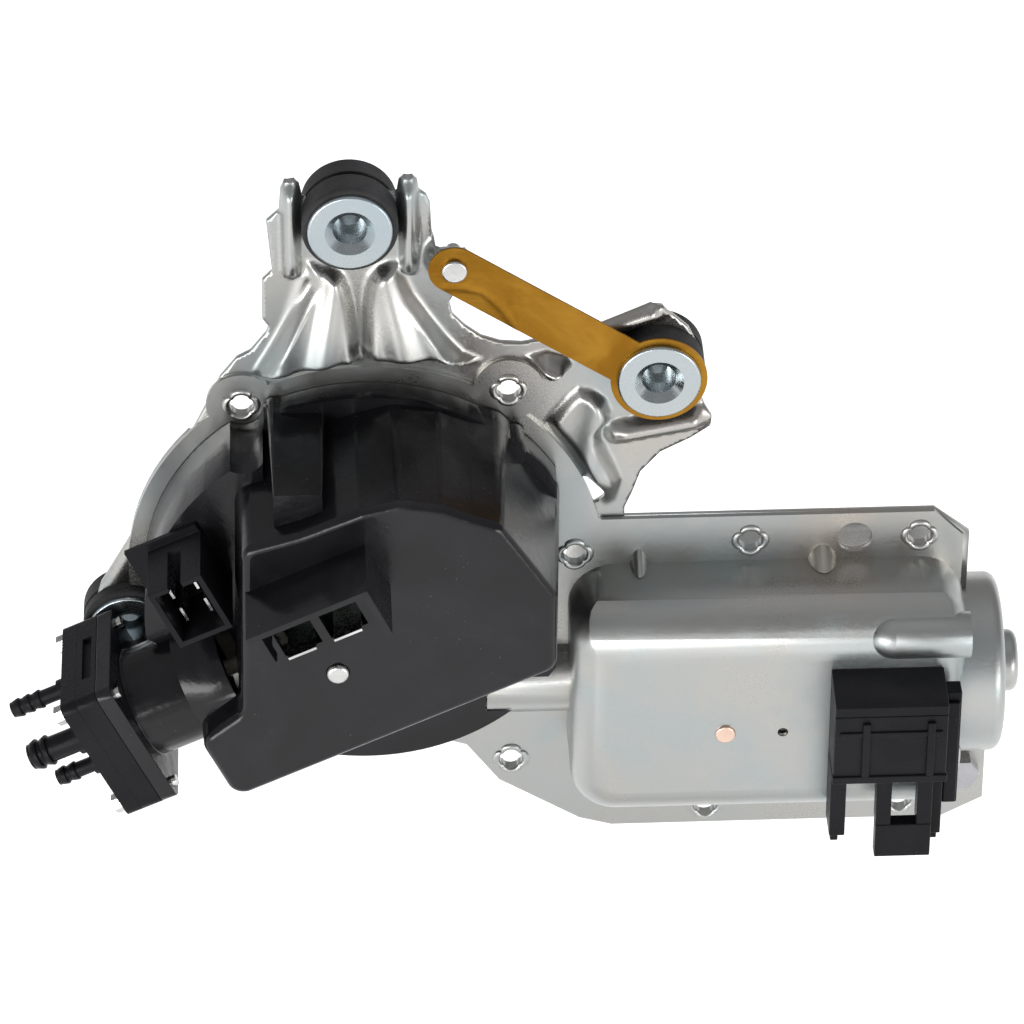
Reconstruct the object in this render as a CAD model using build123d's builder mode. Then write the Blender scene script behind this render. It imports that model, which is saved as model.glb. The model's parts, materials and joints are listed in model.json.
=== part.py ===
"""Windshield wiper motor with worm gearbox, park-switch cover and washer pump.

Frame: +Z up, +X towards the motor end, +Y along the output shaft towards the crank.
The origin is on the output shaft's axis at the crank seat. Millimetres.
"""

import os
from math import cos, pi, radians, sin, tan

from build123d import *

os.makedirs("parts", exist_ok=True)

# ---------------------------------------------------------------- driving dimensions
sheet = 1.6  # stamped steel of both frame halves
flange_y = -34.0  # front face of the frame's flange, measured from the crank seat
seam_y = flange_y + sheet  # mating face of the two halves, which holds the motor axis
back_y = seam_y + sheet  # rear face of the rear half's flange
ring_radius = 71.5  # outside of the round flange under the cover
pan_radius = 58.0  # outside of the gear pan
pan_floor_y = -20.0  # inside face of the pan's floor
tongue_radius = 10.5  # round tongues of the flange that carry an eyelet
running = 0.06  # radial clearance of shafts in bushes
gap = 0.3  # clearance between pieces that move apart
seat = 0.05  # clearance of parts pressed or clamped together

# worm drive
gear_module = 1.25
gear_teeth = 60
gear_width = 9.0
worm_pitch_radius = 6.5
worm_length = 22.0
gear_pitch_radius = gear_module * gear_teeth / 2
axis_z = -(gear_pitch_radius + worm_pitch_radius)  # height of the armature's axis
tooth_height = 0.72 * gear_module
tooth_backlash = 0.35
axial_pitch = pi * gear_module

# motor
can_radius = 27.5
can_wall = 1.8
can_start_x = 72.0
can_end_x = 193.0
end_boss_radius = 9.5
end_boss_length = 6.0
shaft_radius = 4.0
shell_left_x = 61.0
shell_right_x = 181.0
shell_top_z = -2.5
shell_bottom_z = -80.0
shell_corner = 14.0
shell_round = 11.0  # outer radius where the shell turns into its flat face
shell_shoulder = 18.0  # outer radius along the shell's upper front edge
shell_depth = can_radius + gap + sheet  # from the seam to the outside of the shell
shell_front_y = seam_y - shell_depth
swage_radius = 7.0
swage_start = (158.0, shell_front_y + 5.0, shell_top_z - 13.0)
plate_right_x = 180.5
plate_top_z = 14.0
plate_bottom_z = -103.0
worm_tube_radius = 12.0
worm_tube_start_x = 36.0

# output shaft
output_radius = 6.0
crank_seat_radius = 5.0
crank_seat_length = 9.0
thread_radius = 4.0
thread_length = 10.0
bush_radius = 8.5

# mounting grommets
sleeve_bore = 3.25
counterbore_radius = 5.0  # wider front part of the sleeve's bore
counterbore_depth = 10.0
sleeve_wall = 1.6
sleeve_flange_radius = 12.3
sleeve_outer = 6.5
sleeve_stand = 3.4  # how far the sleeve stands out behind the rubber
funnel_radius = 7.3  # mouth of the sleeve
grommet_radius = 14.0
grommet_groove_radius = 10.5
grommet_near = 8.6  # rubber in front of the ear
grommet_near_left = 4.6  # the same at the ear behind the pump
grommet_far = 7.4  # rubber behind the ear
rubber_back_y = back_y + grommet_far
top_ear = (-3.0, 123.5)
right_ear = (87.0, 69.0)
left_ear = (-72.0, -20.0)
ear_rim = 12.6
ear_clear = grommet_radius + gap
bead_radius = 3.6
bead_offset = ear_clear + bead_radius

# ground strap
strap_thickness = 0.8
strap_rivet = (27.0, 109.0)
strap_small_radius = 7.6
strap_large_radius = 14.3
rivet_radius = 3.7
rivet_shank_radius = rivet_radius - 1.2
strap_y = seam_y - grommet_near + strap_thickness + seat / 2  # rear face of the strap

# cover
cover_wall = 2.2
cover_depth = 56.0  # from the flange to the main front face
low_depth = 26.0  # the lower step that carries the harness socket
rim_depth = 9.0  # the rim round the foot of the cover
cover_foot_radius = 66.5
gasket = 0.8
cover_turn = 25.0  # the front of the cover is turned about the shaft's direction
face_y = flange_y - cover_depth
low_y = flange_y - low_depth
foot_y = flange_y - gasket

# washer pump
pump_centre = (-75.0, flange_y - 27.0, -33.0)
pump_tube_radius = 16.8
pump_tube_wall = 2.0
pump_tube_length = 24.0
pump_width = 45.0
pump_depth = 43.0
pump_layers = (5.0, 6.5, 5.0)  # flange, body and valve plate, from the tube outwards
pump_screw_x = 17.5
pump_screw_y = 18.5
plunger_travel = 3.0

# eyelets that clinch the two halves together, and the free hole in the flange
eyelet_radius = 4.4
eyelet_clear = 6.6  # room round an eyelet's folded petals
eyelet_spots = [
    (-36.0, 59.0), (43.0, 62.0), (63.0, 1.5), (116.0, 5.0),
    (167.3, 5.3), (43.7, -76.0), (104.3, -96.3), (165.0, -96.3),
]
flange_hole = (147.6, 5.2)
flange_hole_radius = 5.35
ear_hole = (66.5, 24.0)  # lightening hole at the foot of the right ear
ear_hole_radius = 5.2
bolt_spot = (183.5, -84.0)  # hex bolt that clamps the lower corner
bolt_radius = 3.0
bolt_hex_radius = 5.7
shell_rivet_spot = (107.5, -47.0)
shell_rivet_radius = 2.4
fixture_hole = (125.0, -47.0)  # small hole that locates the shell when it is welded
fixture_hole_radius = 1.6


def facing(y):
    """Plane square to the output shaft at depth y, its normal towards the front."""
    return Plane.XZ.offset(-y)


def along_motor(x):
    """Plane square to the armature at x, centred on its axis, y local = up."""
    return Plane(origin=(x, seam_y, axis_z), x_dir=(0, 1, 0), z_dir=(1, 0, 0))


def along_pump(distance):
    """Plane square to the pump's axis, so far outwards from the pump's centre."""
    c, s = cos(radians(cover_turn)), sin(radians(cover_turn))
    x, y, z = pump_centre
    spot = (x - distance * c, y, z - distance * s)
    return Plane(origin=spot, x_dir=(0, -1, 0), z_dir=(-c, 0, -s))


def turned(u, v):
    """Point of the cover's turned axes, as X and Z."""
    c, s = cos(radians(cover_turn)), sin(radians(cover_turn))
    return (u * c - v * s, u * s + v * c)


def polygon_face(points, radius=0.0):
    """Fill a closed outline in the open sketch, its corners rounded."""
    with BuildSketch(mode=Mode.PRIVATE) as filled:
        with BuildLine():
            Polyline(*points, close=True)
        make_face()
        if radius:
            fillet(filled.vertices(), radius)
    add(filled.sketch)


def motor_plate(front):
    """Flange outline round the motor; the rear half's sits a little further out."""
    grow = 0.0 if front else 2.0
    polygon_face([
        (20, 45), (48, 53), (56, 38), (64, 19), (71, plate_top_z),
        (plate_right_x - 9, plate_top_z), (plate_right_x + grow, plate_top_z - 9),
        (plate_right_x + grow, -72), (bolt_spot[0] + 7.5, -76), (bolt_spot[0] + 7.5, -96),
        (plate_right_x - 2, plate_bottom_z), (75, plate_bottom_z), (65, -100),
        (40, -84), (30, -70), (0, -60),
    ])


def frame_outline(front):
    """Flange outline that both halves share; the front one clears the left grommet."""
    Circle(ring_radius)
    motor_plate(front)
    with Locations(*eyelet_spots[:2]):
        Circle(tongue_radius)
    if front:
        with Locations(left_ear):
            Circle(ear_clear, mode=Mode.SUBTRACT)


def shell_sketch(shrink):
    """Outline of the motor shell at its foot."""
    width = shell_right_x - shell_left_x
    height = shell_top_z - shell_bottom_z
    middle = (shell_right_x + shell_left_x) / 2
    with Locations((middle, (shell_top_z + shell_bottom_z) / 2)):
        RectangleRounded(width - 2 * shrink, height - 2 * shrink, shell_corner - shrink)


def shoulder_corner(shrink):
    """What the rounded shoulder takes off the shell's upper front edge."""
    radius = shell_shoulder - shrink
    start = (shell_left_x - 5, shell_front_y + shrink, shell_top_z - shrink)
    across = Plane(origin=start, x_dir=(0, 1, 0), z_dir=(1, 0, 0))
    with BuildPart(mode=Mode.PRIVATE) as prism:
        with BuildSketch(across, mode=Mode.PRIVATE) as corner:
            with Locations(((radius - 1) / 2, (1 - radius) / 2)):
                Rectangle(radius + 1, radius + 1)
            with Locations((radius, -radius)):
                Circle(radius, mode=Mode.SUBTRACT)
        extrude(corner.sketch, amount=shell_right_x - shell_left_x + 10)
    return prism.part


def shell_core(forwards):
    """The hollow inside one half of the motor shell, its far edges rounded."""
    with BuildPart(mode=Mode.PRIVATE) as core:
        with BuildSketch(facing(seam_y), mode=Mode.PRIVATE) as foot:
            shell_sketch(sheet)
        depth = shell_depth - sheet
        extrude(foot.sketch, amount=depth if forwards else -depth)
        far_edges = core.edges().group_by(Axis.Y)[0 if forwards else -1]
        fillet(far_edges, shell_round - sheet)
        if forwards:
            add(shoulder_corner(sheet), mode=Mode.SUBTRACT)
    return core.part


# ---------------------------------------------------------------- frame halves
# Rear half: flange with the three ears, the gear pan and the motor's rear shell.
with BuildPart() as back_frame:
    with BuildSketch(facing(back_y)):
        frame_outline(front=False)
        polygon_face([
            (-45, 30), (-51, 47), (-48, 56), (-42, 68), (-33, 77), (-29, 88),
            (-29, 101), (-26, 105), (-27, 122), (-19, 129), (15, 130), (20, 126),
            (21, 115), (27, 117), (35, 112), (34, 100), (26, 93), (30, 84),
            (41, 78), (54, 78.5), (71, 83.5), (84, 87), (97, 76), (99, 62),
            (103, 51), (103, 46), (97, 41), (88, 36.5), (82.5, 30), (80, 23),
            (77, 10), (0, 10),
        ])
        polygon_face([(-60, 30), (-80, -6), (-86, -26), (-78, -36), (-50, -55)])
        with Locations(top_ear, right_ear, left_ear):
            Circle(ear_rim)
        with Locations(strap_rivet):
            Circle(9.5)
    extrude(amount=sheet)
    # rolled beads that stiffen the ears, on the front face
    beads = [
        ((top_ear[0] - bead_offset, 106.0), (top_ear[0] - bead_offset, 135.0)),
        ((top_ear[0] + bead_offset, 106.0), (top_ear[0] + bead_offset, 136.0)),
        ((74.0, 41.0), (101.0, 50.0)), ((69.0, 81.5), (83.0, 88.0)),
    ]
    for (x0, z0), (x1, z1) in beads:
        run = Vector(x1 - x0, 0, z1 - z0)
        with BuildSketch(Plane(origin=(x0, seam_y, z0), z_dir=run.normalized())):
            Circle(bead_radius)
        extrude(amount=run.length)
    # raised boss that carries the ground strap
    with BuildSketch(facing(seam_y)):
        with Locations(strap_rivet):
            Circle(9.0)
    extrude(amount=seam_y - strap_y - seat)
    # pads that lead from the ears down to the ring
    with BuildSketch(facing(seam_y)):
        polygon_face([
            (-20, 100), (-9, 104), (-3, 95), (4, 104), (14, 100), (30, 64), (-34, 66),
        ])
        polygon_face([(54, 66), (68, 60), (76, 38), (68, 28), (56, 40), (50, 52)])
    extrude(amount=5.0, taper=12)
    # gear pan, motor shell and the tube between them
    with BuildSketch(facing(seam_y)):
        Circle(pan_radius)
    extrude(amount=-(pan_floor_y + sheet - seam_y))
    with BuildSketch(facing(seam_y)):
        shell_sketch(0)
    extrude(amount=-shell_depth)
    rear_edges = back_frame.edges().group_by(Axis.Y)[-1]
    fillet(rear_edges, shell_round)
    with BuildSketch(along_motor(worm_tube_start_x)):
        Circle(worm_tube_radius)
    extrude(amount=shell_left_x + sheet - worm_tube_start_x)
    with BuildSketch(facing(pan_floor_y)):
        Circle(bush_radius + 2.4)
    extrude(amount=pan_floor_y + 4.0)
    # hollow them out
    with BuildSketch(facing(seam_y)):
        Circle(pan_radius - sheet)
    extrude(amount=-(pan_floor_y - seam_y), mode=Mode.SUBTRACT)
    add(shell_core(forwards=False), mode=Mode.SUBTRACT)
    with BuildSketch(along_motor(worm_tube_start_x - 10)):
        Circle(worm_tube_radius - sheet)
    extrude(amount=shell_left_x + 22 - worm_tube_start_x, mode=Mode.SUBTRACT)
    with BuildSketch(along_motor(shell_right_x - shell_round - 4)):
        Circle(can_radius + gap)
    extrude(amount=shell_round + 12, mode=Mode.SUBTRACT)
    # nothing of the rear half stands in front of the seam inside the ring or the motor
    with BuildSketch(facing(seam_y)):
        frame_outline(front=True)
    extrude(amount=40, mode=Mode.SUBTRACT)
    # bores for the bush, the grommets, the eyelets, and the free holes
    with BuildSketch(facing(40)):
        Circle(bush_radius)
        with Locations(top_ear, right_ear, left_ear):
            Circle(grommet_groove_radius)
        with Locations(*eyelet_spots):
            Circle(eyelet_radius + seat)
        with Locations(flange_hole):
            Circle(flange_hole_radius)
        with Locations(ear_hole):
            Circle(ear_hole_radius)
        with Locations(strap_rivet):
            Circle(rivet_shank_radius + seat)
        with Locations(bolt_spot):
            Circle(bolt_radius + seat)
    extrude(amount=120, mode=Mode.SUBTRACT)
back_frame.part.label = "back_frame"
export_step(back_frame.part, "parts/back_frame.step")

# Front half: flange with the gear opening, and the motor's front shell.
with BuildPart() as front_frame:
    with BuildSketch(facing(seam_y)):
        frame_outline(front=True)
    extrude(amount=sheet)
    with BuildSketch(facing(seam_y)):
        shell_sketch(0)
    extrude(amount=shell_depth)
    front_edges = front_frame.edges().group_by(Axis.Y)[0]
    fillet(front_edges, shell_round)
    add(shoulder_corner(0), mode=Mode.SUBTRACT)
    # swaged half tube at the corner by the motor's end
    with BuildSketch(Plane(origin=swage_start, z_dir=(1, 0, 0))):
        Circle(swage_radius)
    extrude(amount=shell_right_x - swage_start[0])
    with BuildSketch(along_motor(worm_tube_start_x)):
        Circle(worm_tube_radius)
    extrude(amount=shell_left_x + sheet - worm_tube_start_x)
    # hollow it out
    add(shell_core(forwards=True), mode=Mode.SUBTRACT)
    with BuildSketch(along_motor(shell_right_x - shell_round - 4)):
        Circle(can_radius + gap)
    extrude(amount=shell_round + 12, mode=Mode.SUBTRACT)
    with BuildSketch(facing(seam_y)):
        Circle(pan_radius - sheet)
    extrude(amount=40, mode=Mode.SUBTRACT)
    with BuildSketch(along_motor(worm_tube_start_x - 10)):
        Circle(worm_tube_radius - sheet)
    extrude(amount=shell_left_x + 22 - worm_tube_start_x, mode=Mode.SUBTRACT)
    # nothing of the front half stands behind the seam
    with BuildSketch(facing(seam_y + 40)):
        Rectangle(600, 600)
    extrude(amount=40, mode=Mode.SUBTRACT)
    with BuildSketch(facing(40)):
        with Locations(*eyelet_spots):
            Circle(eyelet_radius + seat)
        with Locations(flange_hole):
            Circle(flange_hole_radius)
        with Locations(shell_rivet_spot):
            Circle(shell_rivet_radius + seat)
        with Locations(fixture_hole):
            Circle(fixture_hole_radius)
        with Locations(bolt_spot):
            Circle(bolt_radius + seat)
    extrude(amount=120, mode=Mode.SUBTRACT)
front_frame.part.label = "front_frame"
export_step(front_frame.part, "parts/front_frame.step")

# Eyelets: drawn collars of the rear half, folded outwards over the front flange.
with BuildPart() as flange_eyelets:
    with BuildSketch(facing(back_y)):
        with Locations(*eyelet_spots):
            Circle(eyelet_radius)
    extrude(amount=back_y - flange_y + 0.5)
    with BuildSketch(facing(flange_y)):
        with Locations(*eyelet_spots):
            RectangleRounded(9.6, 9.6, 3.2, rotation=45)
    extrude(amount=0.9)
    with BuildSketch(facing(back_y + 1)):
        with Locations(*eyelet_spots):
            RectangleRounded(5.4, 5.4, 1.2, rotation=45)
    extrude(amount=6, mode=Mode.SUBTRACT)
flange_eyelets.part.label = "flange_eyelets"
export_step(flange_eyelets.part, "parts/flange_eyelets.step")

with BuildPart() as clamp_bolt:
    with BuildSketch(facing(back_y + 4.0)):
        with Locations(bolt_spot):
            Circle(bolt_radius)
    extrude(amount=4.0 + 2 * sheet)
    with BuildSketch(facing(flange_y)):
        with Locations(bolt_spot):
            RegularPolygon(bolt_hex_radius, 6)
    extrude(amount=4.6)
    with BuildSketch(facing(back_y + 3.0)):
        with Locations(bolt_spot):
            RegularPolygon(bolt_hex_radius, 6)
            Circle(bolt_radius, mode=Mode.SUBTRACT)
    extrude(amount=3.0)
clamp_bolt.part.label = "clamp_bolt"
export_step(clamp_bolt.part, "parts/clamp_bolt.step")

# ---------------------------------------------------------------- mounting grommets
# Each has a rubber bush in the ear and a flanged steel sleeve through the bush.
for name, spot, near in (("top", top_ear, grommet_near), ("right", right_ear, grommet_near),
                         ("left", left_ear, grommet_near_left)):
    rubber_front_y = seam_y - near
    sleeve_front_y = rubber_front_y - sleeve_wall
    sleeve_length = near + sheet + grommet_far + sleeve_wall + sleeve_stand
    near_y = rubber_front_y
    if name == "right":
        near_y += strap_thickness + seat
    with BuildPart() as grommet:
        with BuildSketch(facing(rubber_back_y)):
            with Locations(spot):
                Circle(grommet_radius)
        extrude(amount=rubber_back_y - near_y)
        fillet(grommet.edges().filter_by(GeomType.CIRCLE), 1.4)
        with BuildSketch(facing(back_y + seat)):
            with Locations(spot):
                Circle(grommet_radius + 1)
                Circle(grommet_groove_radius - seat, mode=Mode.SUBTRACT)
        extrude(amount=sheet + 2 * seat, mode=Mode.SUBTRACT)
        with BuildSketch(facing(rubber_back_y + 1)):
            with Locations(spot):
                Circle(sleeve_outer + seat)
        extrude(amount=40, mode=Mode.SUBTRACT)
    grommet.part.label = f"grommet_{name}"
    export_step(grommet.part, f"parts/grommet_{name}.step")
    with BuildPart() as sleeve:
        with BuildSketch(facing(sleeve_front_y + sleeve_length)):
            with Locations(spot):
                Circle(sleeve_outer)
        extrude(amount=sleeve_length)
        with BuildSketch(facing(rubber_front_y)):
            with Locations(spot):
                Circle(sleeve_flange_radius)
        extrude(amount=sleeve_wall)
        fillet(sleeve.edges().group_by(Axis.Y)[0], 0.7)
        with BuildSketch(facing(sleeve_front_y + sleeve_length + 1)):
            with Locations(spot):
                Circle(sleeve_bore)
        extrude(amount=40, mode=Mode.SUBTRACT)
        with BuildSketch(facing(sleeve_front_y)):
            with Locations(spot):
                Circle(counterbore_radius)
        extrude(amount=-counterbore_depth, mode=Mode.SUBTRACT)
        # the flange dishes into the bore
        with BuildSketch(facing(sleeve_front_y)):
            with Locations(spot):
                Circle(funnel_radius)
        extrude(amount=-(funnel_radius - counterbore_radius), taper=45, mode=Mode.SUBTRACT)
    sleeve.part.label = f"sleeve_{name}"
    export_step(sleeve.part, f"parts/sleeve_{name}.step")

# Ground strap: from the riveted boss to under the right sleeve's flange.
with BuildPart() as ground_strap:
    reach = Vector(right_ear[0] - strap_rivet[0], 0, right_ear[1] - strap_rivet[1])
    side = Vector(-reach.Z, reach.X).normalized()
    with BuildSketch(facing(strap_y)):
        with Locations(strap_rivet):
            Circle(strap_small_radius)
        with Locations(right_ear):
            Circle(strap_large_radius)
        near_end = Vector(*strap_rivet)
        far_end = Vector(*right_ear)
        polygon_face([
            near_end + side * strap_small_radius,
            far_end + side * strap_small_radius,
            far_end - side * strap_small_radius,
            near_end - side * strap_small_radius,
        ])
        with Locations(strap_rivet):
            Circle(rivet_shank_radius + seat, mode=Mode.SUBTRACT)
        with Locations(right_ear):
            Circle(sleeve_outer + seat, mode=Mode.SUBTRACT)
    extrude(amount=strap_thickness)
ground_strap.part.label = "ground_strap"
export_step(ground_strap.part, "parts/ground_strap.step")

with BuildPart() as strap_rivet_part:
    with BuildSketch(facing(back_y + 0.8)):
        with Locations(strap_rivet):
            Circle(rivet_shank_radius)
    extrude(amount=back_y + 0.8 - strap_y + strap_thickness)
    with BuildSketch(facing(strap_y - strap_thickness)):
        with Locations(strap_rivet):
            Circle(rivet_radius)
    extrude(amount=1.3)
    fillet(strap_rivet_part.edges().group_by(Axis.Y)[0], 0.6)
strap_rivet_part.part.label = "strap_rivet"
export_step(strap_rivet_part.part, "parts/strap_rivet.step")

# ---------------------------------------------------------------- motor
with BuildPart() as motor_can:
    with BuildSketch(along_motor(can_start_x)):
        Circle(can_radius)
    extrude(amount=can_end_x - can_start_x)
    fillet(motor_can.edges().group_by(Axis.X)[-1], 3.5)
    with BuildSketch(along_motor(can_end_x - 2)):
        Circle(end_boss_radius)
    extrude(amount=end_boss_length + 2)
    fillet(motor_can.edges().group_by(Axis.X)[-1], 2.5)
    with BuildSketch(along_motor(can_start_x - 1)):
        Circle(can_radius - can_wall)
    extrude(amount=can_end_x - can_start_x - can_wall + 1, mode=Mode.SUBTRACT)
    with BuildSketch(along_motor(can_start_x)):
        Circle(end_boss_radius - can_wall)
    extrude(amount=can_end_x + end_boss_length - can_wall - can_start_x, mode=Mode.SUBTRACT)
motor_can.part.label = "motor_can"
export_step(motor_can.part, "parts/motor_can.step")

core_start_x = 92.0
core_length = 46.0
core_radius = 19.0
magnet_inner = core_radius + 0.8
magnet_outer = can_radius - can_wall - seat
with BuildPart() as field_magnets:
    with BuildSketch(along_motor(core_start_x - 4)):
        Circle(magnet_outer)
        Circle(magnet_inner, mode=Mode.SUBTRACT)
        Rectangle(2 * can_radius + 2, 16, mode=Mode.SUBTRACT)
    extrude(amount=core_length + 8)
field_magnets.part.label = "field_magnets"
export_step(field_magnets.part, "parts/field_magnets.step")

slot_count = 12
with BuildPart() as armature_core:
    with BuildSketch(along_motor(core_start_x)):
        Circle(core_radius)
        with PolarLocations(core_radius - 3.5, slot_count):
            Rectangle(9.0, 3.4, mode=Mode.SUBTRACT)
        Circle(shaft_radius + seat, mode=Mode.SUBTRACT)
    extrude(amount=core_length)
armature_core.part.label = "armature_core"
export_step(armature_core.part, "parts/armature_core.step")

with BuildPart() as armature_windings:
    for start in (core_start_x - 9.0, core_start_x + core_length + seat):
        with BuildSketch(along_motor(start)):
            Circle(core_radius - 2.5)
            Circle(shaft_radius + 1.0, mode=Mode.SUBTRACT)
        extrude(amount=9.0 - seat)
    outer = armature_windings.edges().filter_by(GeomType.CIRCLE).filter_by(
        lambda edge: edge.radius > core_radius - 3)
    fillet(outer, 3.0)
armature_windings.part.label = "armature_windings"
export_step(armature_windings.part, "parts/armature_windings.step")

commutator_x = core_start_x + core_length + 11.0
commutator_radius = 10.5
commutator_length = 14.0
with BuildPart() as commutator:
    with BuildSketch(along_motor(commutator_x)):
        Circle(commutator_radius)
        with PolarLocations(commutator_radius, slot_count):
            Rectangle(3.0, 0.7, mode=Mode.SUBTRACT)
        Circle(shaft_radius + seat, mode=Mode.SUBTRACT)
    extrude(amount=commutator_length)
commutator.part.label = "commutator"
export_step(commutator.part, "parts/commutator.step")

brush_size = 6.0
card_radius = can_radius - can_wall - seat
brush_box_start = commutator_radius + 2.0
brush_box_depth = card_radius - brush_box_start - 1.15  # the box stops short of the can
brush_box_end = 2.0  # thickness of its closed end
brush_length = brush_box_depth - brush_box_end - 2.0
brush_x = commutator_x + commutator_length / 2
with BuildPart() as brushes:
    for direction in (1, -1):
        root = (brush_x, seam_y, axis_z + direction * (commutator_radius + gap))
        with BuildSketch(Plane(origin=root, z_dir=(0, 0, direction))):
            Rectangle(brush_size, brush_size)
        extrude(amount=brush_length)
brushes.part.label = "brushes"
export_step(brushes.part, "parts/brushes.step")

with BuildPart() as brush_card:
    with BuildSketch(along_motor(brush_x + brush_size / 2 + 3.0)):
        Circle(card_radius)
        Circle(commutator_radius + 1.5, mode=Mode.SUBTRACT)
    extrude(amount=2.0)
    # a box round each brush
    for direction in (1, -1):
        root = (brush_x, seam_y, axis_z + direction * brush_box_start)
        with BuildSketch(Plane(origin=root, z_dir=(0, 0, direction))):
            Rectangle(brush_size + 6.2, brush_size + 3.0)
        extrude(amount=brush_box_depth)
        with BuildSketch(Plane(origin=root, z_dir=(0, 0, direction))):
            Rectangle(brush_size + 0.2, brush_size + 0.2)
        extrude(amount=brush_box_depth - brush_box_end, mode=Mode.SUBTRACT)
brush_card.part.label = "brush_card"
export_step(brush_card.part, "parts/brush_card.step")

brush_root_radius = commutator_radius + gap
brush_end_radius = commutator_radius + gap + brush_length
spring_room = brush_box_start + brush_box_depth - brush_box_end - brush_end_radius
with BuildPart() as brush_springs:
    for direction in (1, -1):
        start_z = axis_z + direction * (brush_end_radius + seat)
        with BuildSketch(Plane(origin=(brush_x, seam_y, start_z), z_dir=(0, 0, direction))):
            Circle(2.4)
            Circle(1.6, mode=Mode.SUBTRACT)
        extrude(amount=spring_room - 2 * seat)
brush_springs.part.label = "brush_springs"
export_step(brush_springs.part, "parts/brush_springs.step")

bearing_length = 9.0
front_bearing_x = shell_left_x - 8.0
rear_bearing_x = can_end_x + end_boss_length - can_wall - bearing_length
with BuildPart() as front_bearing:
    with BuildSketch(along_motor(front_bearing_x)):
        Circle(worm_tube_radius - sheet - seat)
        Circle(shaft_radius + running, mode=Mode.SUBTRACT)
    extrude(amount=bearing_length)
front_bearing.part.label = "front_bearing"
export_step(front_bearing.part, "parts/front_bearing.step")

with BuildPart() as rear_bearing:
    with BuildSketch(along_motor(rear_bearing_x)):
        Circle(end_boss_radius - can_wall - seat)
        Circle(shaft_radius + running, mode=Mode.SUBTRACT)
    extrude(amount=bearing_length - seat)
rear_bearing.part.label = "rear_bearing"
export_step(rear_bearing.part, "parts/rear_bearing.step")

# Armature shaft with the worm cut on it. One thread runs in the gear's gaps.
worm_root_radius = worm_pitch_radius - tooth_height
worm_tip_radius = worm_pitch_radius + tooth_height - 0.1
shaft_start_x = -24.0
shaft_end_x = can_end_x + end_boss_length - can_wall - 1.0
root_half = (axial_pitch - tooth_backlash) / 4 + tooth_height * tan(radians(20)) / 1.6
tip_half = (axial_pitch - tooth_backlash) / 4 - tooth_height * tan(radians(20)) / 1.6
thread_height = round(worm_length / axial_pitch) * axial_pitch
with BuildPart() as worm_thread:
    thread_start = (-thread_height / 2, seam_y, axis_z)
    with BuildLine() as worm_path:
        Helix(axial_pitch, thread_height, worm_root_radius - 0.2, center=thread_start,
              direction=(1, 0, 0))
    with BuildSketch(Plane(origin=worm_path.line @ 0, x_dir=(0, 0, 1),
                           z_dir=worm_path.line % 0)):
        with BuildLine():
            Polyline((0, root_half), (tooth_height * 2 + 0.1, tip_half),
                     (tooth_height * 2 + 0.1, -tip_half), (0, -root_half), close=True)
        make_face()
    sweep(path=worm_path.line, is_frenet=True)

with BuildPart() as armature_shaft:
    with BuildSketch(along_motor(shaft_start_x)):
        Circle(shaft_radius)
    extrude(amount=shaft_end_x - shaft_start_x)
    with BuildSketch(along_motor(-thread_height / 2 - 2.0)):
        Circle(worm_root_radius)
    extrude(amount=thread_height + 4.0)
    add(worm_thread.part)
armature_shaft.part.label = "armature_shaft"
export_step(armature_shaft.part, "parts/armature_shaft.step")

with BuildPart() as worm_tip_bearing:
    block = 12.0
    block_back_y = pan_floor_y - seat
    with BuildSketch(facing(block_back_y)):
        with Locations((shaft_start_x + 2.0, axis_z)):
            Rectangle(6.0, block)
    extrude(amount=block_back_y - seam_y + block / 2)
    with BuildSketch(along_motor(shaft_start_x - 0.5)):
        Circle(shaft_radius + running)
    extrude(amount=20, mode=Mode.SUBTRACT)
worm_tip_bearing.part.label = "worm_tip_bearing"
export_step(worm_tip_bearing.part, "parts/worm_tip_bearing.step")

# ---------------------------------------------------------------- gear and output
gear_root = gear_pitch_radius - tooth_height
gear_tip = gear_pitch_radius + tooth_height - 0.1
gear_front_y = seam_y - gear_width / 2
half_gap_root = (axial_pitch + tooth_backlash) / 4 - tooth_height * tan(radians(20)) / 1.6
half_gap_tip = (axial_pitch + tooth_backlash) / 4 + tooth_height * tan(radians(20)) / 1.6
with BuildPart() as drive_gear:
    with BuildSketch(facing(gear_front_y + gear_width)):
        Circle(gear_tip)
    extrude(amount=gear_width)
    with BuildSketch(facing(gear_front_y + gear_width)):
        Circle(gear_root - 4)
        Circle(13, mode=Mode.SUBTRACT)
    extrude(amount=2.5, mode=Mode.SUBTRACT)
    # tooth gaps lean with the worm's thread
    for index in range(gear_teeth):
        turn = radians(index * 360 / gear_teeth - 90)
        outwards = Vector(cos(turn), 0, sin(turn))
        around = Vector(-sin(turn), 0, cos(turn))
        lean = Vector(0, 1, 0) - around * (axial_pitch / (2 * pi * worm_pitch_radius))
        with BuildSketch(Plane(origin=(0, seam_y, 0), x_dir=outwards, z_dir=lean)):
            polygon_face([
                (gear_root - 0.2, half_gap_root), (gear_tip + 0.3, half_gap_tip + 0.1),
                (gear_tip + 0.3, -half_gap_tip - 0.1), (gear_root - 0.2, -half_gap_root),
            ])
    extrude(amount=gear_width, both=True, mode=Mode.SUBTRACT)
    with BuildSketch(facing(0)):
        Circle(output_radius + seat)
    extrude(amount=80, mode=Mode.SUBTRACT)
drive_gear.part.label = "drive_gear"
export_step(drive_gear.part, "parts/drive_gear.step")

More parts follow.
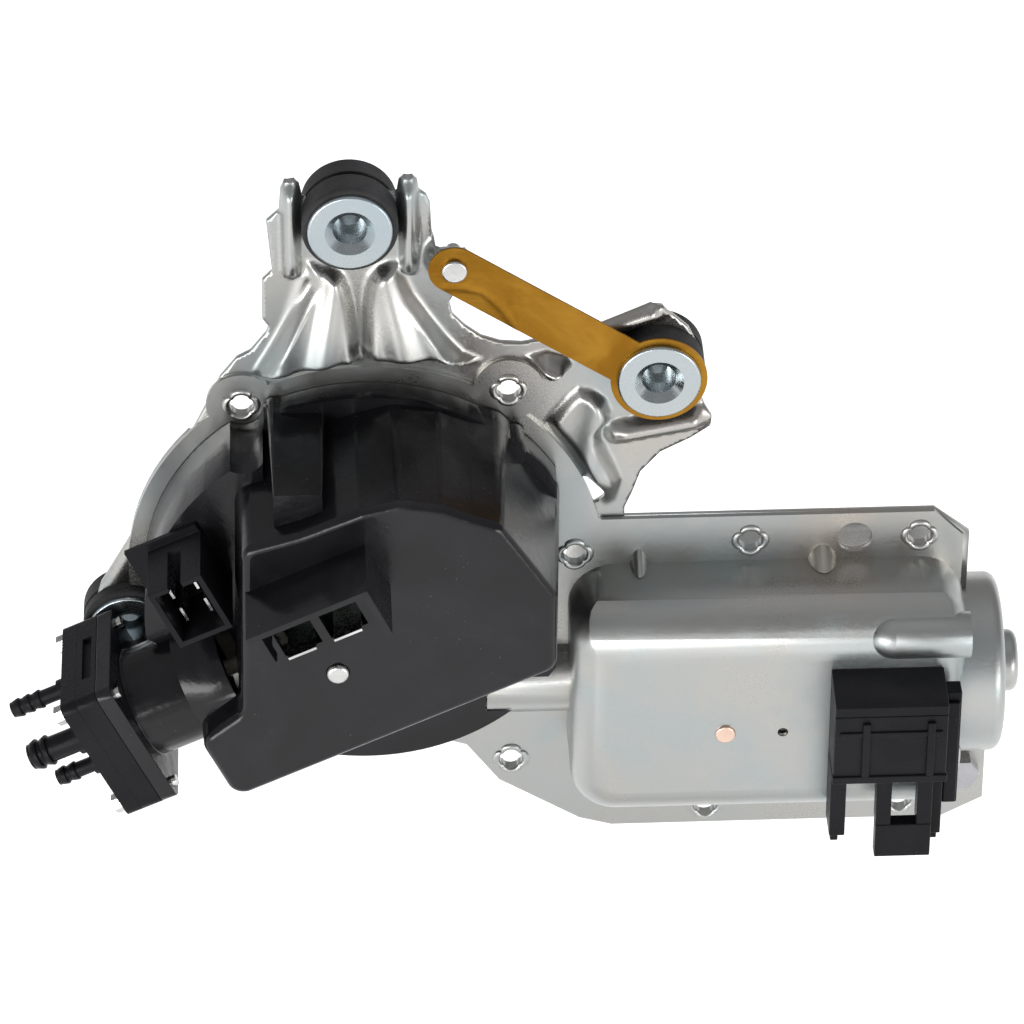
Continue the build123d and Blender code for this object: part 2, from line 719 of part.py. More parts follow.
with BuildPart() as output_shaft:
    shaft_front_y = seam_y - gear_width / 2 - 4.0
    with BuildSketch(facing(0)):
        Circle(output_radius)
    extrude(amount=-shaft_front_y)
    with BuildSketch(facing(crank_seat_length)):
        Circle(crank_seat_radius)
    extrude(amount=crank_seat_length)
    with BuildSketch(facing(crank_seat_length + thread_length)):
        Circle(thread_radius)
    extrude(amount=thread_length)
    chamfer(output_shaft.edges().group_by(Axis.Y)[-1], 0.8)
output_shaft.part.label = "output_shaft"
export_step(output_shaft.part, "parts/output_shaft.step")

park_cam_radius = 24.0
with BuildPart() as park_cam:
    with BuildSketch(facing(gear_front_y - seat)):
        Circle(park_cam_radius)
        Circle(output_radius + seat, mode=Mode.SUBTRACT)
        with Locations((park_cam_radius, 0)):
            Rectangle(10, 8, mode=Mode.SUBTRACT)
    extrude(amount=2.0)
park_cam.part.label = "park_cam"
export_step(park_cam.part, "parts/park_cam.step")

with BuildPart() as output_bush:
    with BuildSketch(facing(-4.5)):
        Circle(bush_radius - seat)
        Circle(output_radius + running, mode=Mode.SUBTRACT)
    extrude(amount=18.0)
output_bush.part.label = "output_bush"
export_step(output_bush.part, "parts/output_bush.step")

with BuildPart() as shaft_seal:
    with BuildSketch(facing(-1.2)):
        Circle(bush_radius + 2.0)
        Circle(output_radius + gap, mode=Mode.SUBTRACT)
    extrude(amount=4.0 - 1.2 - seat)
    fillet(shaft_seal.edges().filter_by(GeomType.CIRCLE).group_by(Axis.Y)[-1], 0.9)
shaft_seal.part.label = "shaft_seal"
export_step(shaft_seal.part, "parts/shaft_seal.step")

# ---------------------------------------------------------------- cover
draft = 3.5
face_outline = [
    (-40.7, -44.8), turned(-55.8, 0), turned(-40, 4), (-36.5, 46), (-19.6, 51), (-2, 58.5),
    (9, 61.2), (21, 59), (30, 55), (38.4, 51.8), (54.7, 26.5), (54.6, 0.2),
]
low_step_outline = [(-80, -48), (-80, 60), (-30, 60), (-30, -48)]
right_edge_x = 57.0
pilaster_depth = 48.0
pin_spot = turned(-8.1, 5.2)
slot_spots = [turned(-13.0, 24.0), turned(1.8, 24.0)]
slot_width = 12.0
slot_height = 13.0
hood_depth = 23.0
hood_wall = 1.8
hood_width = 38.6
hood_roof_v = 42.6
cheek_v = 35.0
cheek_height = 17.0
turned_x = (cos(radians(cover_turn)), 0, sin(radians(cover_turn)))
hood_plane = Plane(origin=(0, face_y + 0.5, 0), x_dir=turned_x, z_dir=(0, -1, 0))
post_length = 12.0


def cover_levels(shrink):
    """Outlines of the cover's foot and lower step, and of its face at full depth."""
    with BuildSketch(facing(foot_y), mode=Mode.PRIVATE) as foot:
        Circle(cover_foot_radius - shrink)
        with Locations((right_edge_x - shrink + 50, 0)):
            Rectangle(100, 200, mode=Mode.SUBTRACT)
        with Locations(eyelet_spots[0]):
            Circle(eyelet_clear + shrink, mode=Mode.SUBTRACT)
        with Locations(left_ear):
            Circle(ear_clear + shrink, mode=Mode.SUBTRACT)
    with BuildSketch(facing(foot_y), mode=Mode.PRIVATE) as step:
        add(foot.sketch)
        with BuildLine():
            Polyline(*low_step_outline, close=True)
        make_face(mode=Mode.INTERSECT)
    with BuildSketch(facing(foot_y), mode=Mode.PRIVATE) as tower:
        with BuildLine():
            Polyline(*face_outline, close=True)
        make_face()
        fillet(tower.vertices(), 5.0)
        offset(amount=draft - shrink, kind=Kind.ARC, mode=Mode.REPLACE)
    return foot.sketch, step.sketch, tower.sketch


with BuildPart() as gear_cover:
    foot, step, tower = cover_levels(0)
    tower_depth = foot_y - face_y
    add(extrude(foot, amount=rim_depth - gasket, mode=Mode.PRIVATE))
    add(extrude(step, amount=low_depth - gasket, mode=Mode.PRIVATE))
    add(extrude(tower, amount=tower_depth, taper=draft, mode=Mode.PRIVATE))
    fillet(gear_cover.edges().group_by(Axis.Y)[0], 2.6)
    # pilaster up the outside of the drum
    with BuildSketch(facing(foot_y)):
        with Locations((-20.0, 54)):
            RectangleRounded(17.5, 16, 2.0)
    extrude(amount=pilaster_depth, taper=2)
    # collar round the pump's tube
    with BuildSketch(along_pump(-26.0)):
        Circle(pump_tube_radius + cover_wall + seat)
    extrude(amount=-14.0)
    # hollow it out
    foot, step, tower = cover_levels(cover_wall)
    add(extrude(foot, amount=rim_depth - gasket - cover_wall, mode=Mode.PRIVATE),
        mode=Mode.SUBTRACT)
    add(extrude(step, amount=low_depth - gasket - cover_wall, mode=Mode.PRIVATE),
        mode=Mode.SUBTRACT)
    add(extrude(tower, amount=tower_depth - cover_wall, taper=draft, mode=Mode.PRIVATE),
        mode=Mode.SUBTRACT)
    with BuildSketch(along_pump(-12.0)):
        Circle(pump_tube_radius + seat)
    extrude(amount=-30.0, mode=Mode.SUBTRACT)
    # notch over the worm's tube
    with BuildSketch(along_motor(worm_tube_start_x - gap)):
        Circle(worm_tube_radius + gap)
    extrude(amount=40, mode=Mode.SUBTRACT)
    # hooded header on the face: roof, right cheek and a short left cheek
    with BuildSketch(hood_plane):
        with Locations((0, hood_roof_v)):
            Rectangle(hood_width, hood_wall)
        with Locations(((hood_width - hood_wall) / 2, cheek_v)):
            Rectangle(hood_wall, cheek_height)
    extrude(amount=hood_depth + 0.5)
    with BuildSketch(hood_plane):
        with Locations(((hood_wall - hood_width) / 2, cheek_v)):
            Rectangle(hood_wall, cheek_height)
    extrude(amount=hood_depth * 0.7)
    # slots, the keyhole and the hook peg by the right tongue
    with BuildSketch(facing(face_y + 10)):
        with Locations(*slot_spots):
            Rectangle(slot_width, slot_height, rotation=cover_turn)
        with Locations(pin_spot):
            Circle(3.5)
    extrude(amount=20, mode=Mode.SUBTRACT)
    with BuildSketch(facing(foot_y)):
        with Locations((44.0, 47.0)):
            Circle(3.6)
    extrude(amount=12)
    # posts that carry the board
    with BuildSketch(facing(face_y + cover_wall + post_length)):
        with Locations(turned(-16, -6), turned(32, -6), turned(32, 22)):
            Circle(3.0)
    extrude(amount=post_length)
gear_cover.part.label = "gear_cover"
export_step(gear_cover.part, "parts/gear_cover.step")

with BuildPart() as cover_gasket:
    with BuildSketch(facing(flange_y)):
        add(cover_levels(0)[0])
        add(cover_levels(4.0)[0], mode=Mode.SUBTRACT)
    extrude(amount=gasket)
    with BuildSketch(along_motor(worm_tube_start_x - gap)):
        Circle(worm_tube_radius + gap)
    extrude(amount=40, mode=Mode.SUBTRACT)
cover_gasket.part.label = "cover_gasket"
export_step(cover_gasket.part, "parts/cover_gasket.step")

board_back_y = face_y + cover_wall + post_length + 1.6
with BuildPart() as pulse_board:
    with BuildSketch(facing(board_back_y)):
        with Locations(turned(8, 8)):
            Rectangle(56, 36, rotation=cover_turn)
    extrude(amount=1.6)
pulse_board.part.label = "pulse_board"
export_step(pulse_board.part, "parts/pulse_board.step")

with BuildPart() as park_contacts:
    contact_end_y = gear_front_y - seat - 2.0 - gap
    with BuildSketch(facing(contact_end_y)):
        with Locations((8, 14), (0, 19), (-12, 14)):
            Rectangle(4.0, 0.8)
    extrude(amount=contact_end_y - board_back_y)
park_contacts.part.label = "park_contacts"
export_step(park_contacts.part, "parts/park_contacts.step")

with BuildPart() as header_blades:
    for u in (-13.0, 1.8):
        with BuildSketch(facing(face_y + cover_wall + post_length)):
            with Locations(turned(u, 18.8)):
                Rectangle(9.0, 0.8, rotation=cover_turn)
        extrude(amount=post_length + 6.0)
header_blades.part.label = "header_blades"
export_step(header_blades.part, "parts/header_blades.step")

with BuildPart() as cover_pin:
    with BuildSketch(facing(face_y + cover_wall + 6)):
        with Locations(pin_spot):
            Circle(2.0)
    extrude(amount=6 + cover_wall)
    with BuildSketch(facing(face_y)):
        with Locations(pin_spot):
            Circle(3.3)
    extrude(amount=1.6)
    fillet(cover_pin.edges().group_by(Axis.Y)[0], 1.2)
cover_pin.part.label = "cover_pin"
export_step(cover_pin.part, "parts/cover_pin.step")

# Harness socket on the lower step, open towards the front.
socket_u = (-47.3, -30.0)
socket_v = (30.0, 51.3)
socket_wall = 1.8
socket_depth = 24.0
socket_mid = turned(sum(socket_u) / 2, sum(socket_v) / 2)
socket_size = (socket_u[1] - socket_u[0], socket_v[1] - socket_v[0])
with BuildPart() as harness_socket:
    with BuildSketch(facing(low_y)):
        with Locations(turned(-42.2, 42.0)):
            Rectangle(23.5, 23.5, rotation=cover_turn)
    extrude(amount=1.8)
    with BuildSketch(facing(low_y)):
        with Locations(socket_mid):
            Rectangle(*socket_size, rotation=cover_turn)
    extrude(amount=socket_depth)
    with BuildSketch(facing(low_y - 3.0)):
        with Locations(socket_mid):
            Rectangle(socket_size[0] - 2 * socket_wall, socket_size[1] - 2 * socket_wall,
                      rotation=cover_turn)
    extrude(amount=socket_depth, mode=Mode.SUBTRACT)
    with BuildSketch(facing(low_y - 6.0)):
        with Locations(turned(-38.6, 51.0)):
            Rectangle(4.2, 6, rotation=cover_turn)
    extrude(amount=socket_depth, mode=Mode.SUBTRACT)
harness_socket.part.label = "harness_socket"
export_step(harness_socket.part, "parts/harness_socket.step")

with BuildPart() as socket_blades:
    with BuildSketch(facing(low_y - 3.0)):
        with Locations(*[turned(u, v) for u in (-43, -35) for v in (36, 45)]):
            Rectangle(0.8, 5.0, rotation=cover_turn)
    extrude(amount=14.0)
socket_blades.part.label = "socket_blades"
export_step(socket_blades.part, "parts/socket_blades.step")

# ---------------------------------------------------------------- washer pump
flange_layer, body_layer, valve_layer = pump_layers
pump_inner = -sum(pump_layers) / 2
body_start = pump_inner + flange_layer
valve_start = body_start + body_layer
pump_outer = valve_start + valve_layer
pump_screws_at = [(x, y) for x in (-pump_screw_x, pump_screw_x)
                  for y in (-pump_screw_y, pump_screw_y)]
pump_screw_radius = 1.6
plunger_radius = 2.5
piston_radius = pump_tube_radius - pump_tube_wall - gap
tube_end = pump_inner - pump_tube_length


def pump_layer(start, thickness):
    """One layer of the pump's square block, with its screw holes."""
    with BuildSketch(along_pump(start), mode=Mode.PRIVATE) as layer:
        RectangleRounded(pump_depth, pump_width, 3.0)
        with Locations(*pump_screws_at):
            Circle(pump_screw_radius + seat, mode=Mode.SUBTRACT)
    extrude(layer.sketch, amount=thickness)


with BuildPart() as pump_tube:
    pump_layer(pump_inner, flange_layer - seat)
    with BuildSketch(along_pump(tube_end)):
        Circle(pump_tube_radius)
    extrude(amount=pump_tube_length + 1)
    with BuildSketch(along_pump(tube_end + pump_tube_wall)):
        Circle(pump_tube_radius - pump_tube_wall)
    extrude(amount=pump_tube_length + flange_layer, mode=Mode.SUBTRACT)
    with BuildSketch(along_pump(tube_end - 1)):
        Circle(plunger_radius + running)
    extrude(amount=8, mode=Mode.SUBTRACT)
pump_tube.part.label = "pump_tube"
export_step(pump_tube.part, "parts/pump_tube.step")

with BuildPart() as pump_body:
    pump_layer(body_start, body_layer - seat)
    with BuildSketch(along_pump(body_start)):
        Circle(11.0)
    extrude(amount=3.0, mode=Mode.SUBTRACT)
    # drain slots along the sides
    with BuildSketch(along_pump(body_start + 1.5)):
        with Locations((0, pump_width / 2), (0, -pump_width / 2)):
            Rectangle(20, 3.0)
    extrude(amount=3.0, mode=Mode.SUBTRACT)
pump_body.part.label = "pump_body"
export_step(pump_body.part, "parts/pump_body.step")

nozzles = [  # local place, outer radius, length of the hose end
    ((3.0, 17.0), 2.4, 16.0),
    ((13.0, 5.5), 3.9, 15.5),
    ((13.0, -5.0), 2.4, 12.0),
]
with BuildPart() as valve_plate:
    pump_layer(valve_start, valve_layer - seat)
    for spot, radius, length in nozzles:
        with BuildSketch(along_pump(pump_outer - 1)):
            with Locations(spot):
                Circle(radius + 1.0)
        extrude(amount=4.0)
        with BuildSketch(along_pump(pump_outer - 1)):
            with Locations(spot):
                Circle(radius)
        extrude(amount=4.0 + length)
        with BuildSketch(along_pump(pump_outer + 1)):
            with Locations(spot):
                Circle(radius * 0.55)
        extrude(amount=4.0 + length, mode=Mode.SUBTRACT)
valve_plate.part.label = "valve_plate"
export_step(valve_plate.part, "parts/valve_plate.step")

with BuildPart() as pump_bolts:
    with BuildSketch(along_pump(pump_inner - 1.5)):
        with Locations(*pump_screws_at):
            Circle(pump_screw_radius)
    extrude(amount=sum(pump_layers) + 1.5)
    with BuildSketch(along_pump(pump_outer)):
        with Locations(*pump_screws_at):
            RegularPolygon(3.0, 6)
    extrude(amount=3.0)
pump_bolts.part.label = "pump_bolts"
export_step(pump_bolts.part, "parts/pump_bolts.step")

piston_at = tube_end + pump_tube_wall + gap
with BuildPart() as pump_plunger:
    with BuildSketch(along_pump(tube_end - 8.0)):
        Circle(plunger_radius)
    extrude(amount=pump_tube_length + 2.0)
    with BuildSketch(along_pump(piston_at)):
        Circle(piston_radius)
    extrude(amount=5.0)
pump_plunger.part.label = "pump_plunger"
export_step(pump_plunger.part, "parts/pump_plunger.step")

with BuildPart() as plunger_spring:
    spring_start = piston_at + 5.0 + plunger_travel + gap
    with BuildSketch(along_pump(spring_start)):
        Circle(9.0)
        Circle(7.4, mode=Mode.SUBTRACT)
    extrude(amount=body_start + 3.0 - seat - spring_start)
plunger_spring.part.label = "plunger_spring"
export_step(plunger_spring.part, "parts/plunger_spring.step")

# ---------------------------------------------------------------- motor connector
box_left, box_right = 139.0, 173.0
box_top, box_rim, leg_end = -23.5, -53.0, -79.0
box_back_y = shell_front_y - seat
box_front_y = box_back_y - 16.5
box_wall = 2.0
with BuildPart() as motor_connector:
    with BuildSketch(facing(box_back_y)):
        with Locations(((box_left + box_right) / 2, (box_top + box_rim) / 2)):
            Rectangle(box_right - box_left, box_top - box_rim)
    extrude(amount=box_back_y - box_front_y)
    cavity_top = box_top - 6.0
    with BuildSketch(facing(box_back_y - box_wall)):
        with Locations(((box_left + box_right) / 2, (cavity_top + box_rim - 4) / 2)):
            Rectangle(box_right - box_left - 2 * box_wall, cavity_top - box_rim + 4)
    extrude(amount=box_back_y - box_front_y - 2 * box_wall, mode=Mode.SUBTRACT)
    # back wall and legs below the rim
    with BuildSketch(facing(box_back_y)):
        for x in (box_left + 2.4, box_right - 2.4):
            with Locations((x, (box_rim + leg_end) / 2 + 1)):
                Rectangle(4.8, box_rim - leg_end + 2)
    extrude(amount=11.0)
    # strike loop for the plug's latch
    with BuildSketch(facing(box_back_y - 7.0)):
        with Locations((161.0, -66.0)):
            Rectangle(17.5, 39.0)
        with Locations((161.0, -67.0)):
            Rectangle(7.0, 18.0, mode=Mode.SUBTRACT)
    extrude(amount=2.4)
    # side rail
    with BuildSketch(facing(box_back_y)):
        with Locations((box_right + 2.6, -50.0)):
            Rectangle(5.2, 42.0)
    extrude(amount=6.0)
    # ribs on the front
    with BuildSketch(facing(box_front_y)):
        for x in (148.5, 168.0):
            with Locations((x, (box_top + box_rim) / 2)):
                Rectangle(2.4, box_top - box_rim - 2)
    extrude(amount=1.2)
motor_connector.part.label = "motor_connector"
export_step(motor_connector.part, "parts/motor_connector.step")

with BuildPart() as connector_blades:
    with BuildSketch(Plane.XY.offset(cavity_top)):
        with Locations((145.0, box_back_y - 8.2), (149.0, box_back_y - 4.2)):
            Rectangle(0.8, 4.0)
    extrude(amount=-18.0)
connector_blades.part.label = "connector_blades"
export_step(connector_blades.part, "parts/connector_blades.step")

with BuildPart() as shell_rivet:
    with BuildSketch(facing(shell_front_y + sheet)):
        with Locations(shell_rivet_spot):
            Circle(shell_rivet_radius)
    extrude(amount=sheet)
    with BuildSketch(facing(shell_front_y)):
        with Locations(shell_rivet_spot):
            Circle(shell_rivet_radius + 0.7)
    extrude(amount=0.9)
    fillet(shell_rivet.edges().group_by(Axis.Y)[0], 0.6)
shell_rivet.part.label = "shell_rivet"
export_step(shell_rivet.part, "parts/shell_rivet.step")
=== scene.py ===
"""Looks of a windshield wiper motor: finishes, formed sheet, mouldings and light."""

import json
from math import atan2, cos, exp, hypot, pi, radians, sin, sqrt

import bmesh
import bpy
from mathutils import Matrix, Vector, geometry


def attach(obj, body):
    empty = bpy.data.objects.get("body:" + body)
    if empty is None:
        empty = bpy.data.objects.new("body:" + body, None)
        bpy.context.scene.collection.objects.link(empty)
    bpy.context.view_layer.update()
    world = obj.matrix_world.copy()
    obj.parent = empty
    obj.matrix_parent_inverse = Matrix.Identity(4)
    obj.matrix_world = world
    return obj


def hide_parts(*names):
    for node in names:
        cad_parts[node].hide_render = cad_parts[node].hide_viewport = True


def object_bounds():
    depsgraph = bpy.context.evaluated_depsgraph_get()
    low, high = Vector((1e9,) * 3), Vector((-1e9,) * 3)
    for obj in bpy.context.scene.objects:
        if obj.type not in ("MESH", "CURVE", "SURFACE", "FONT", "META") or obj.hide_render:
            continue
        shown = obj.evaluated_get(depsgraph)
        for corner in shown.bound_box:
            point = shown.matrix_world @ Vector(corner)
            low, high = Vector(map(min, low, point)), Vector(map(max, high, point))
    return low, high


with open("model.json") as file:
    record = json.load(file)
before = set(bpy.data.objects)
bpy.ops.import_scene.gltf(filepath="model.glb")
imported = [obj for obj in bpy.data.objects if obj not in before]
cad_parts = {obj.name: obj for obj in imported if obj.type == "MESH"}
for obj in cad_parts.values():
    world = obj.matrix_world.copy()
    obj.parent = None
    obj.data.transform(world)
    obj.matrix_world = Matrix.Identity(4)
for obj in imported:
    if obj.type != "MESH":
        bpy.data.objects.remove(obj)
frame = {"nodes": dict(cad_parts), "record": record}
cad_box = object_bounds()
MM = 0.001

# ------------------------------------------------------------------ camera and light
VIEW_AZIMUTH = radians(-2.5)
VIEW_ELEVATION = radians(35.5)
VIEW_DISTANCE = 1.7
VIEW_TARGET = Vector((0.044, -0.034, 0.0177))
LENS = 199.2
LIGHT_AIM = (0.04, -0.03, 0.01)
SKY = [  # height from straight down (0) to straight up (1), and brightness there
    (0.0, 0.8), (0.40, 1.0), (0.50, 1.5), (0.56, 1.2), (0.62, 0.42), (0.80, 0.42), (0.92, 0.50),
    (1.0, 0.7),
]
SKY_STRENGTH = 0.75
FLOOR_DROP = 0.10
FLOOR_REACH = 4.0
FLOOR_GLOW = 0.42


def make_camera():
    back = Vector((
        sin(VIEW_AZIMUTH) * cos(VIEW_ELEVATION),
        -cos(VIEW_AZIMUTH) * cos(VIEW_ELEVATION),
        sin(VIEW_ELEVATION),
    ))
    data = bpy.data.cameras.new("camera")
    data.lens = LENS
    data.sensor_width = 36
    data.clip_end = 50
    camera = bpy.data.objects.new("camera", data)
    camera.location = VIEW_TARGET + back * VIEW_DISTANCE
    camera.rotation_euler = back.to_track_quat("Z", "Y").to_euler()
    bpy.context.scene.collection.objects.link(camera)
    bpy.context.scene.camera = camera


def softbox(name, place, size, power, mirrored=True):
    """Rectangular lamp turned to the object; one that isn't mirrored leaves no reflection."""
    data = bpy.data.lights.new(name, "AREA")
    data.shape = "RECTANGLE"
    data.size, data.size_y = size
    data.energy = power
    lamp = bpy.data.objects.new(name, data)
    lamp.location = place
    lamp.visible_glossy = mirrored
    lamp.rotation_euler = (Vector(place) - Vector(LIGHT_AIM)).to_track_quat("Z", "Y").to_euler()
    bpy.context.scene.collection.objects.link(lamp)


def make_world():
    """Studio surroundings: brightness by height, brightest at the horizon."""
    world = bpy.data.worlds.new("studio")
    bpy.context.scene.world = world
    world.use_nodes = True
    tree = world.node_tree
    coords = tree.nodes.new("ShaderNodeTexCoord")
    split = tree.nodes.new("ShaderNodeSeparateXYZ")
    ramp = tree.nodes.new("ShaderNodeValToRGB")
    tree.links.new(coords.outputs["Generated"], split.inputs[0])
    lift = tree.nodes.new("ShaderNodeMath")
    lift.operation = "MULTIPLY_ADD"
    lift.inputs[1].default_value = 0.5
    lift.inputs[2].default_value = 0.5
    tree.links.new(split.outputs["Z"], lift.inputs[0])
    tree.links.new(lift.outputs[0], ramp.inputs[0])
    elements = ramp.color_ramp.elements
    while len(elements) < len(SKY):
        elements.new(0.5)
    for element, (height, value) in zip(elements, SKY):
        element.position = height
        element.color = (value, value, value * 1.01, 1)
    tree.links.new(ramp.outputs[0], tree.nodes["Background"].inputs["Color"])
    tree.nodes["Background"].inputs["Strength"].default_value = SKY_STRENGTH


# ------------------------------------------------------------------ finishes
class Value:
    """A shader socket that takes part in Python arithmetic."""

    def __init__(self, finish, socket):
        self.finish = finish
        self.socket = socket

    def math(self, operation, first, second):
        node = self.finish.node("ShaderNodeMath", {"operation": operation},
                                {0: first, 1: second})
        return Value(self.finish, node.outputs[0])

    def __add__(self, other):
        return self.math("ADD", self, other)

    def __radd__(self, other):
        return self.math("ADD", other, self)

    def __rsub__(self, other):
        return self.math("SUBTRACT", other, self)

    def __mul__(self, other):
        return self.math("MULTIPLY", self, other)

    def __rmul__(self, other):
        return self.math("MULTIPLY", other, self)

    def between(self, low, high):
        """0 below low, 1 above high, smooth between them."""
        node = self.finish.node("ShaderNodeMapRange", {"interpolation_type": "SMOOTHSTEP"},
                                {"Value": self, "From Min": low, "From Max": high})
        return Value(self.finish, node.outputs[0])


class Finish:
    """One material: a Principled shader with uniform values, and textures that vary it."""

    def __init__(self, name, **uniform):
        self.material = bpy.data.materials.new(name)
        self.material.use_nodes = True
        self.tree = self.material.node_tree
        self.shader = self.tree.nodes["Principled BSDF"]
        self.coords = self.tree.nodes.new("ShaderNodeTexCoord").outputs["Object"]
        for socket, value in uniform.items():
            self.shader.inputs[socket.replace("_", " ")].default_value = value

    def node(self, kind, settings, inputs):
        """New node with its settings, and each input a number, a colour or a socket."""
        made = self.tree.nodes.new(kind)
        for key, value in settings.items():
            setattr(made, key, value)
        for key, value in inputs.items():
            if isinstance(value, Value):
                value = value.socket
            if isinstance(value, bpy.types.NodeSocket):
                self.tree.links.new(value, made.inputs[key])
            else:
                made.inputs[key].default_value = value
        return made

    def spread(self, stretch=(1, 1, 1), turn=(0, 0, 0)):
        """Object coordinates, stretched and turned, in metres."""
        return self.node("ShaderNodeMapping", {}, {
            "Vector": self.coords, "Scale": stretch, "Rotation": turn}).outputs[0]

    def noise(self, scale, detail=3.0, rough=0.5, twist=0.0, at=None):
        made = self.node("ShaderNodeTexNoise", {}, {
            "Vector": at or self.coords, "Scale": scale, "Detail": detail,
            "Roughness": rough, "Distortion": twist})
        return Value(self, made.outputs["Fac"])

    def specks(self, scale, radius):
        """Small round dots, 1 inside and 0 outside."""
        made = self.node("ShaderNodeTexVoronoi", {}, {"Vector": self.coords, "Scale": scale})
        return 1 - Value(self, made.outputs["Distance"]).between(radius * 0.6, radius)

    def blend(self, amount, low, high):
        """Colour from low to high by an amount."""
        made = self.node("ShaderNodeMix", {"data_type": "RGBA"}, {
            0: amount, 6: (*low, 1) if isinstance(low, tuple) else low,
            7: (*high, 1) if isinstance(high, tuple) else high})
        return made.outputs[2]

    def colour(self, socket):
        self.tree.links.new(socket, self.shader.inputs["Base Color"])

    def roughness(self, value):
        self.tree.links.new(value.socket, self.shader.inputs["Roughness"])

    def bump(self, height, distance):
        made = self.node("ShaderNodeBump", {}, {"Height": height, "Distance": distance})
        self.tree.links.new(made.outputs[0], self.shader.inputs["Normal"])


def zinc_plate(name, base, cool, warm, rough=0.24):
    """Bright zinc plate with faint passivation tints, fine grain and handling marks."""
    finish = Finish(name, Metallic=1.0, Specular_IOR_Level=0.5)
    cloud = finish.noise(26, 4, 0.55, 0.6)
    drift = finish.noise(11, 2, 0.5, 1.2)
    grain = finish.noise(1500, 2, 0.6)
    scuffs = finish.noise(300, 4, 0.7, at=finish.spread((1, 1, 9), (0.3, 0.9, 0.2)))
    tint = finish.blend(cloud.between(0.40, 0.66), base, cool)
    tint = finish.blend(drift.between(0.52, 0.72) * 0.8, tint, warm)
    tint = finish.blend(grain.between(0.62, 0.80) * 0.25, tint, tuple(0.6 * c for c in base))
    finish.colour(tint)
    finish.roughness(rough + 0.14 * cloud.between(0.3, 0.7) + 0.10 * grain.between(0.4, 0.75)
                     + 0.06 * scuffs.between(0.5, 0.7))
    finish.bump(grain * 0.15 + cloud * 0.8 + scuffs * 0.10, 0.00012)
    return finish.material


def gold_strap():
    """Yellow passivation over steel, mottled and drawn along the strap."""
    finish = Finish("yellow_passivate", Metallic=1.0)
    along = finish.spread((1, 1, 7), (0, radians(-34), 0))
    drawn = finish.noise(190, 4, 0.65, at=along)
    mottle = finish.noise(34, 5, 0.6, 0.8)
    blush = finish.noise(15, 2, 0.5, 0.5)
    tint = finish.blend(mottle.between(0.35, 0.68), (0.24, 0.110, 0.0115), (0.365, 0.187, 0.025))
    tint = finish.blend(blush.between(0.55, 0.72) * 0.7, tint, (0.26, 0.085, 0.014))
    finish.colour(tint)
    finish.roughness(0.30 + 0.16 * mottle + 0.08 * drawn)
    finish.bump(drawn * 0.6 + mottle * 0.4, 0.00010)
    return finish.material


def black_moulding(name, rough, shine, grain_scale, grain_depth):
    """Black moulded plastic with flow marks, dust and rubbed patches."""
    finish = Finish(name, Specular_IOR_Level=shine)
    flow = finish.noise(30, 3, 0.5, 1.5)
    texture = finish.noise(grain_scale, 2, 0.6)
    dust = finish.specks(420, 0.10) * finish.noise(60, 2).between(0.55, 0.72)
    tint = finish.blend(flow.between(0.3, 0.75), (0.006, 0.006, 0.0072), (0.010, 0.010, 0.0122))
    tint = finish.blend(dust * 0.35, tint, (0.20, 0.20, 0.19))
    finish.colour(tint)
    finish.roughness(rough + 0.10 * flow.between(0.35, 0.7) + 0.05 * texture + 0.3 * dust)
    finish.bump(texture + flow * 0.6, grain_depth)
    return finish.material


def rubber():
    finish = Finish("rubber", Specular_IOR_Level=0.35)
    grain = finish.noise(900, 3, 0.6)
    bloom = finish.noise(70, 4, 0.6)
    dust = finish.specks(800, 0.14) * finish.noise(160, 2).between(0.5, 0.68)
    tint = finish.blend(bloom.between(0.35, 0.75), (0.016, 0.016, 0.017), (0.034, 0.034, 0.036))
    finish.colour(finish.blend(dust * 0.6, tint, (0.30, 0.29, 0.27)))
    finish.roughness(0.62 + 0.2 * grain)
    finish.bump(grain + dust * 0.6, 0.00018)
    return finish.material


def plain_metal(name, tint, dull, rough, grain_scale=700, stretch=(1, 1, 1)):
    """Machined or rolled metal, a little streaked."""
    finish = Finish(name, Metallic=1.0)
    grain = finish.noise(grain_scale, 4, 0.6, at=finish.spread(stretch))
    stain = finish.noise(45, 3, 0.55)
    finish.colour(finish.blend(stain.between(0.35, 0.7), tint, dull))
    finish.roughness(rough + 0.15 * grain.between(0.35, 0.7) + 0.06 * stain)
    finish.bump(grain, 0.00008)
    return finish.material


def plain_moulding(name, tint, dull, rough):
    """Uncoated plastic, ceramic or card with a fine even grain."""
    finish = Finish(name, Specular_IOR_Level=0.4)
    grain = finish.noise(800, 3, 0.6)
    stain = finish.noise(50, 3, 0.5)
    finish.colour(finish.blend(stain.between(0.3, 0.7), tint, dull))
    finish.roughness(rough + 0.12 * grain)
    finish.bump(grain, 0.0001)
    return finish.material


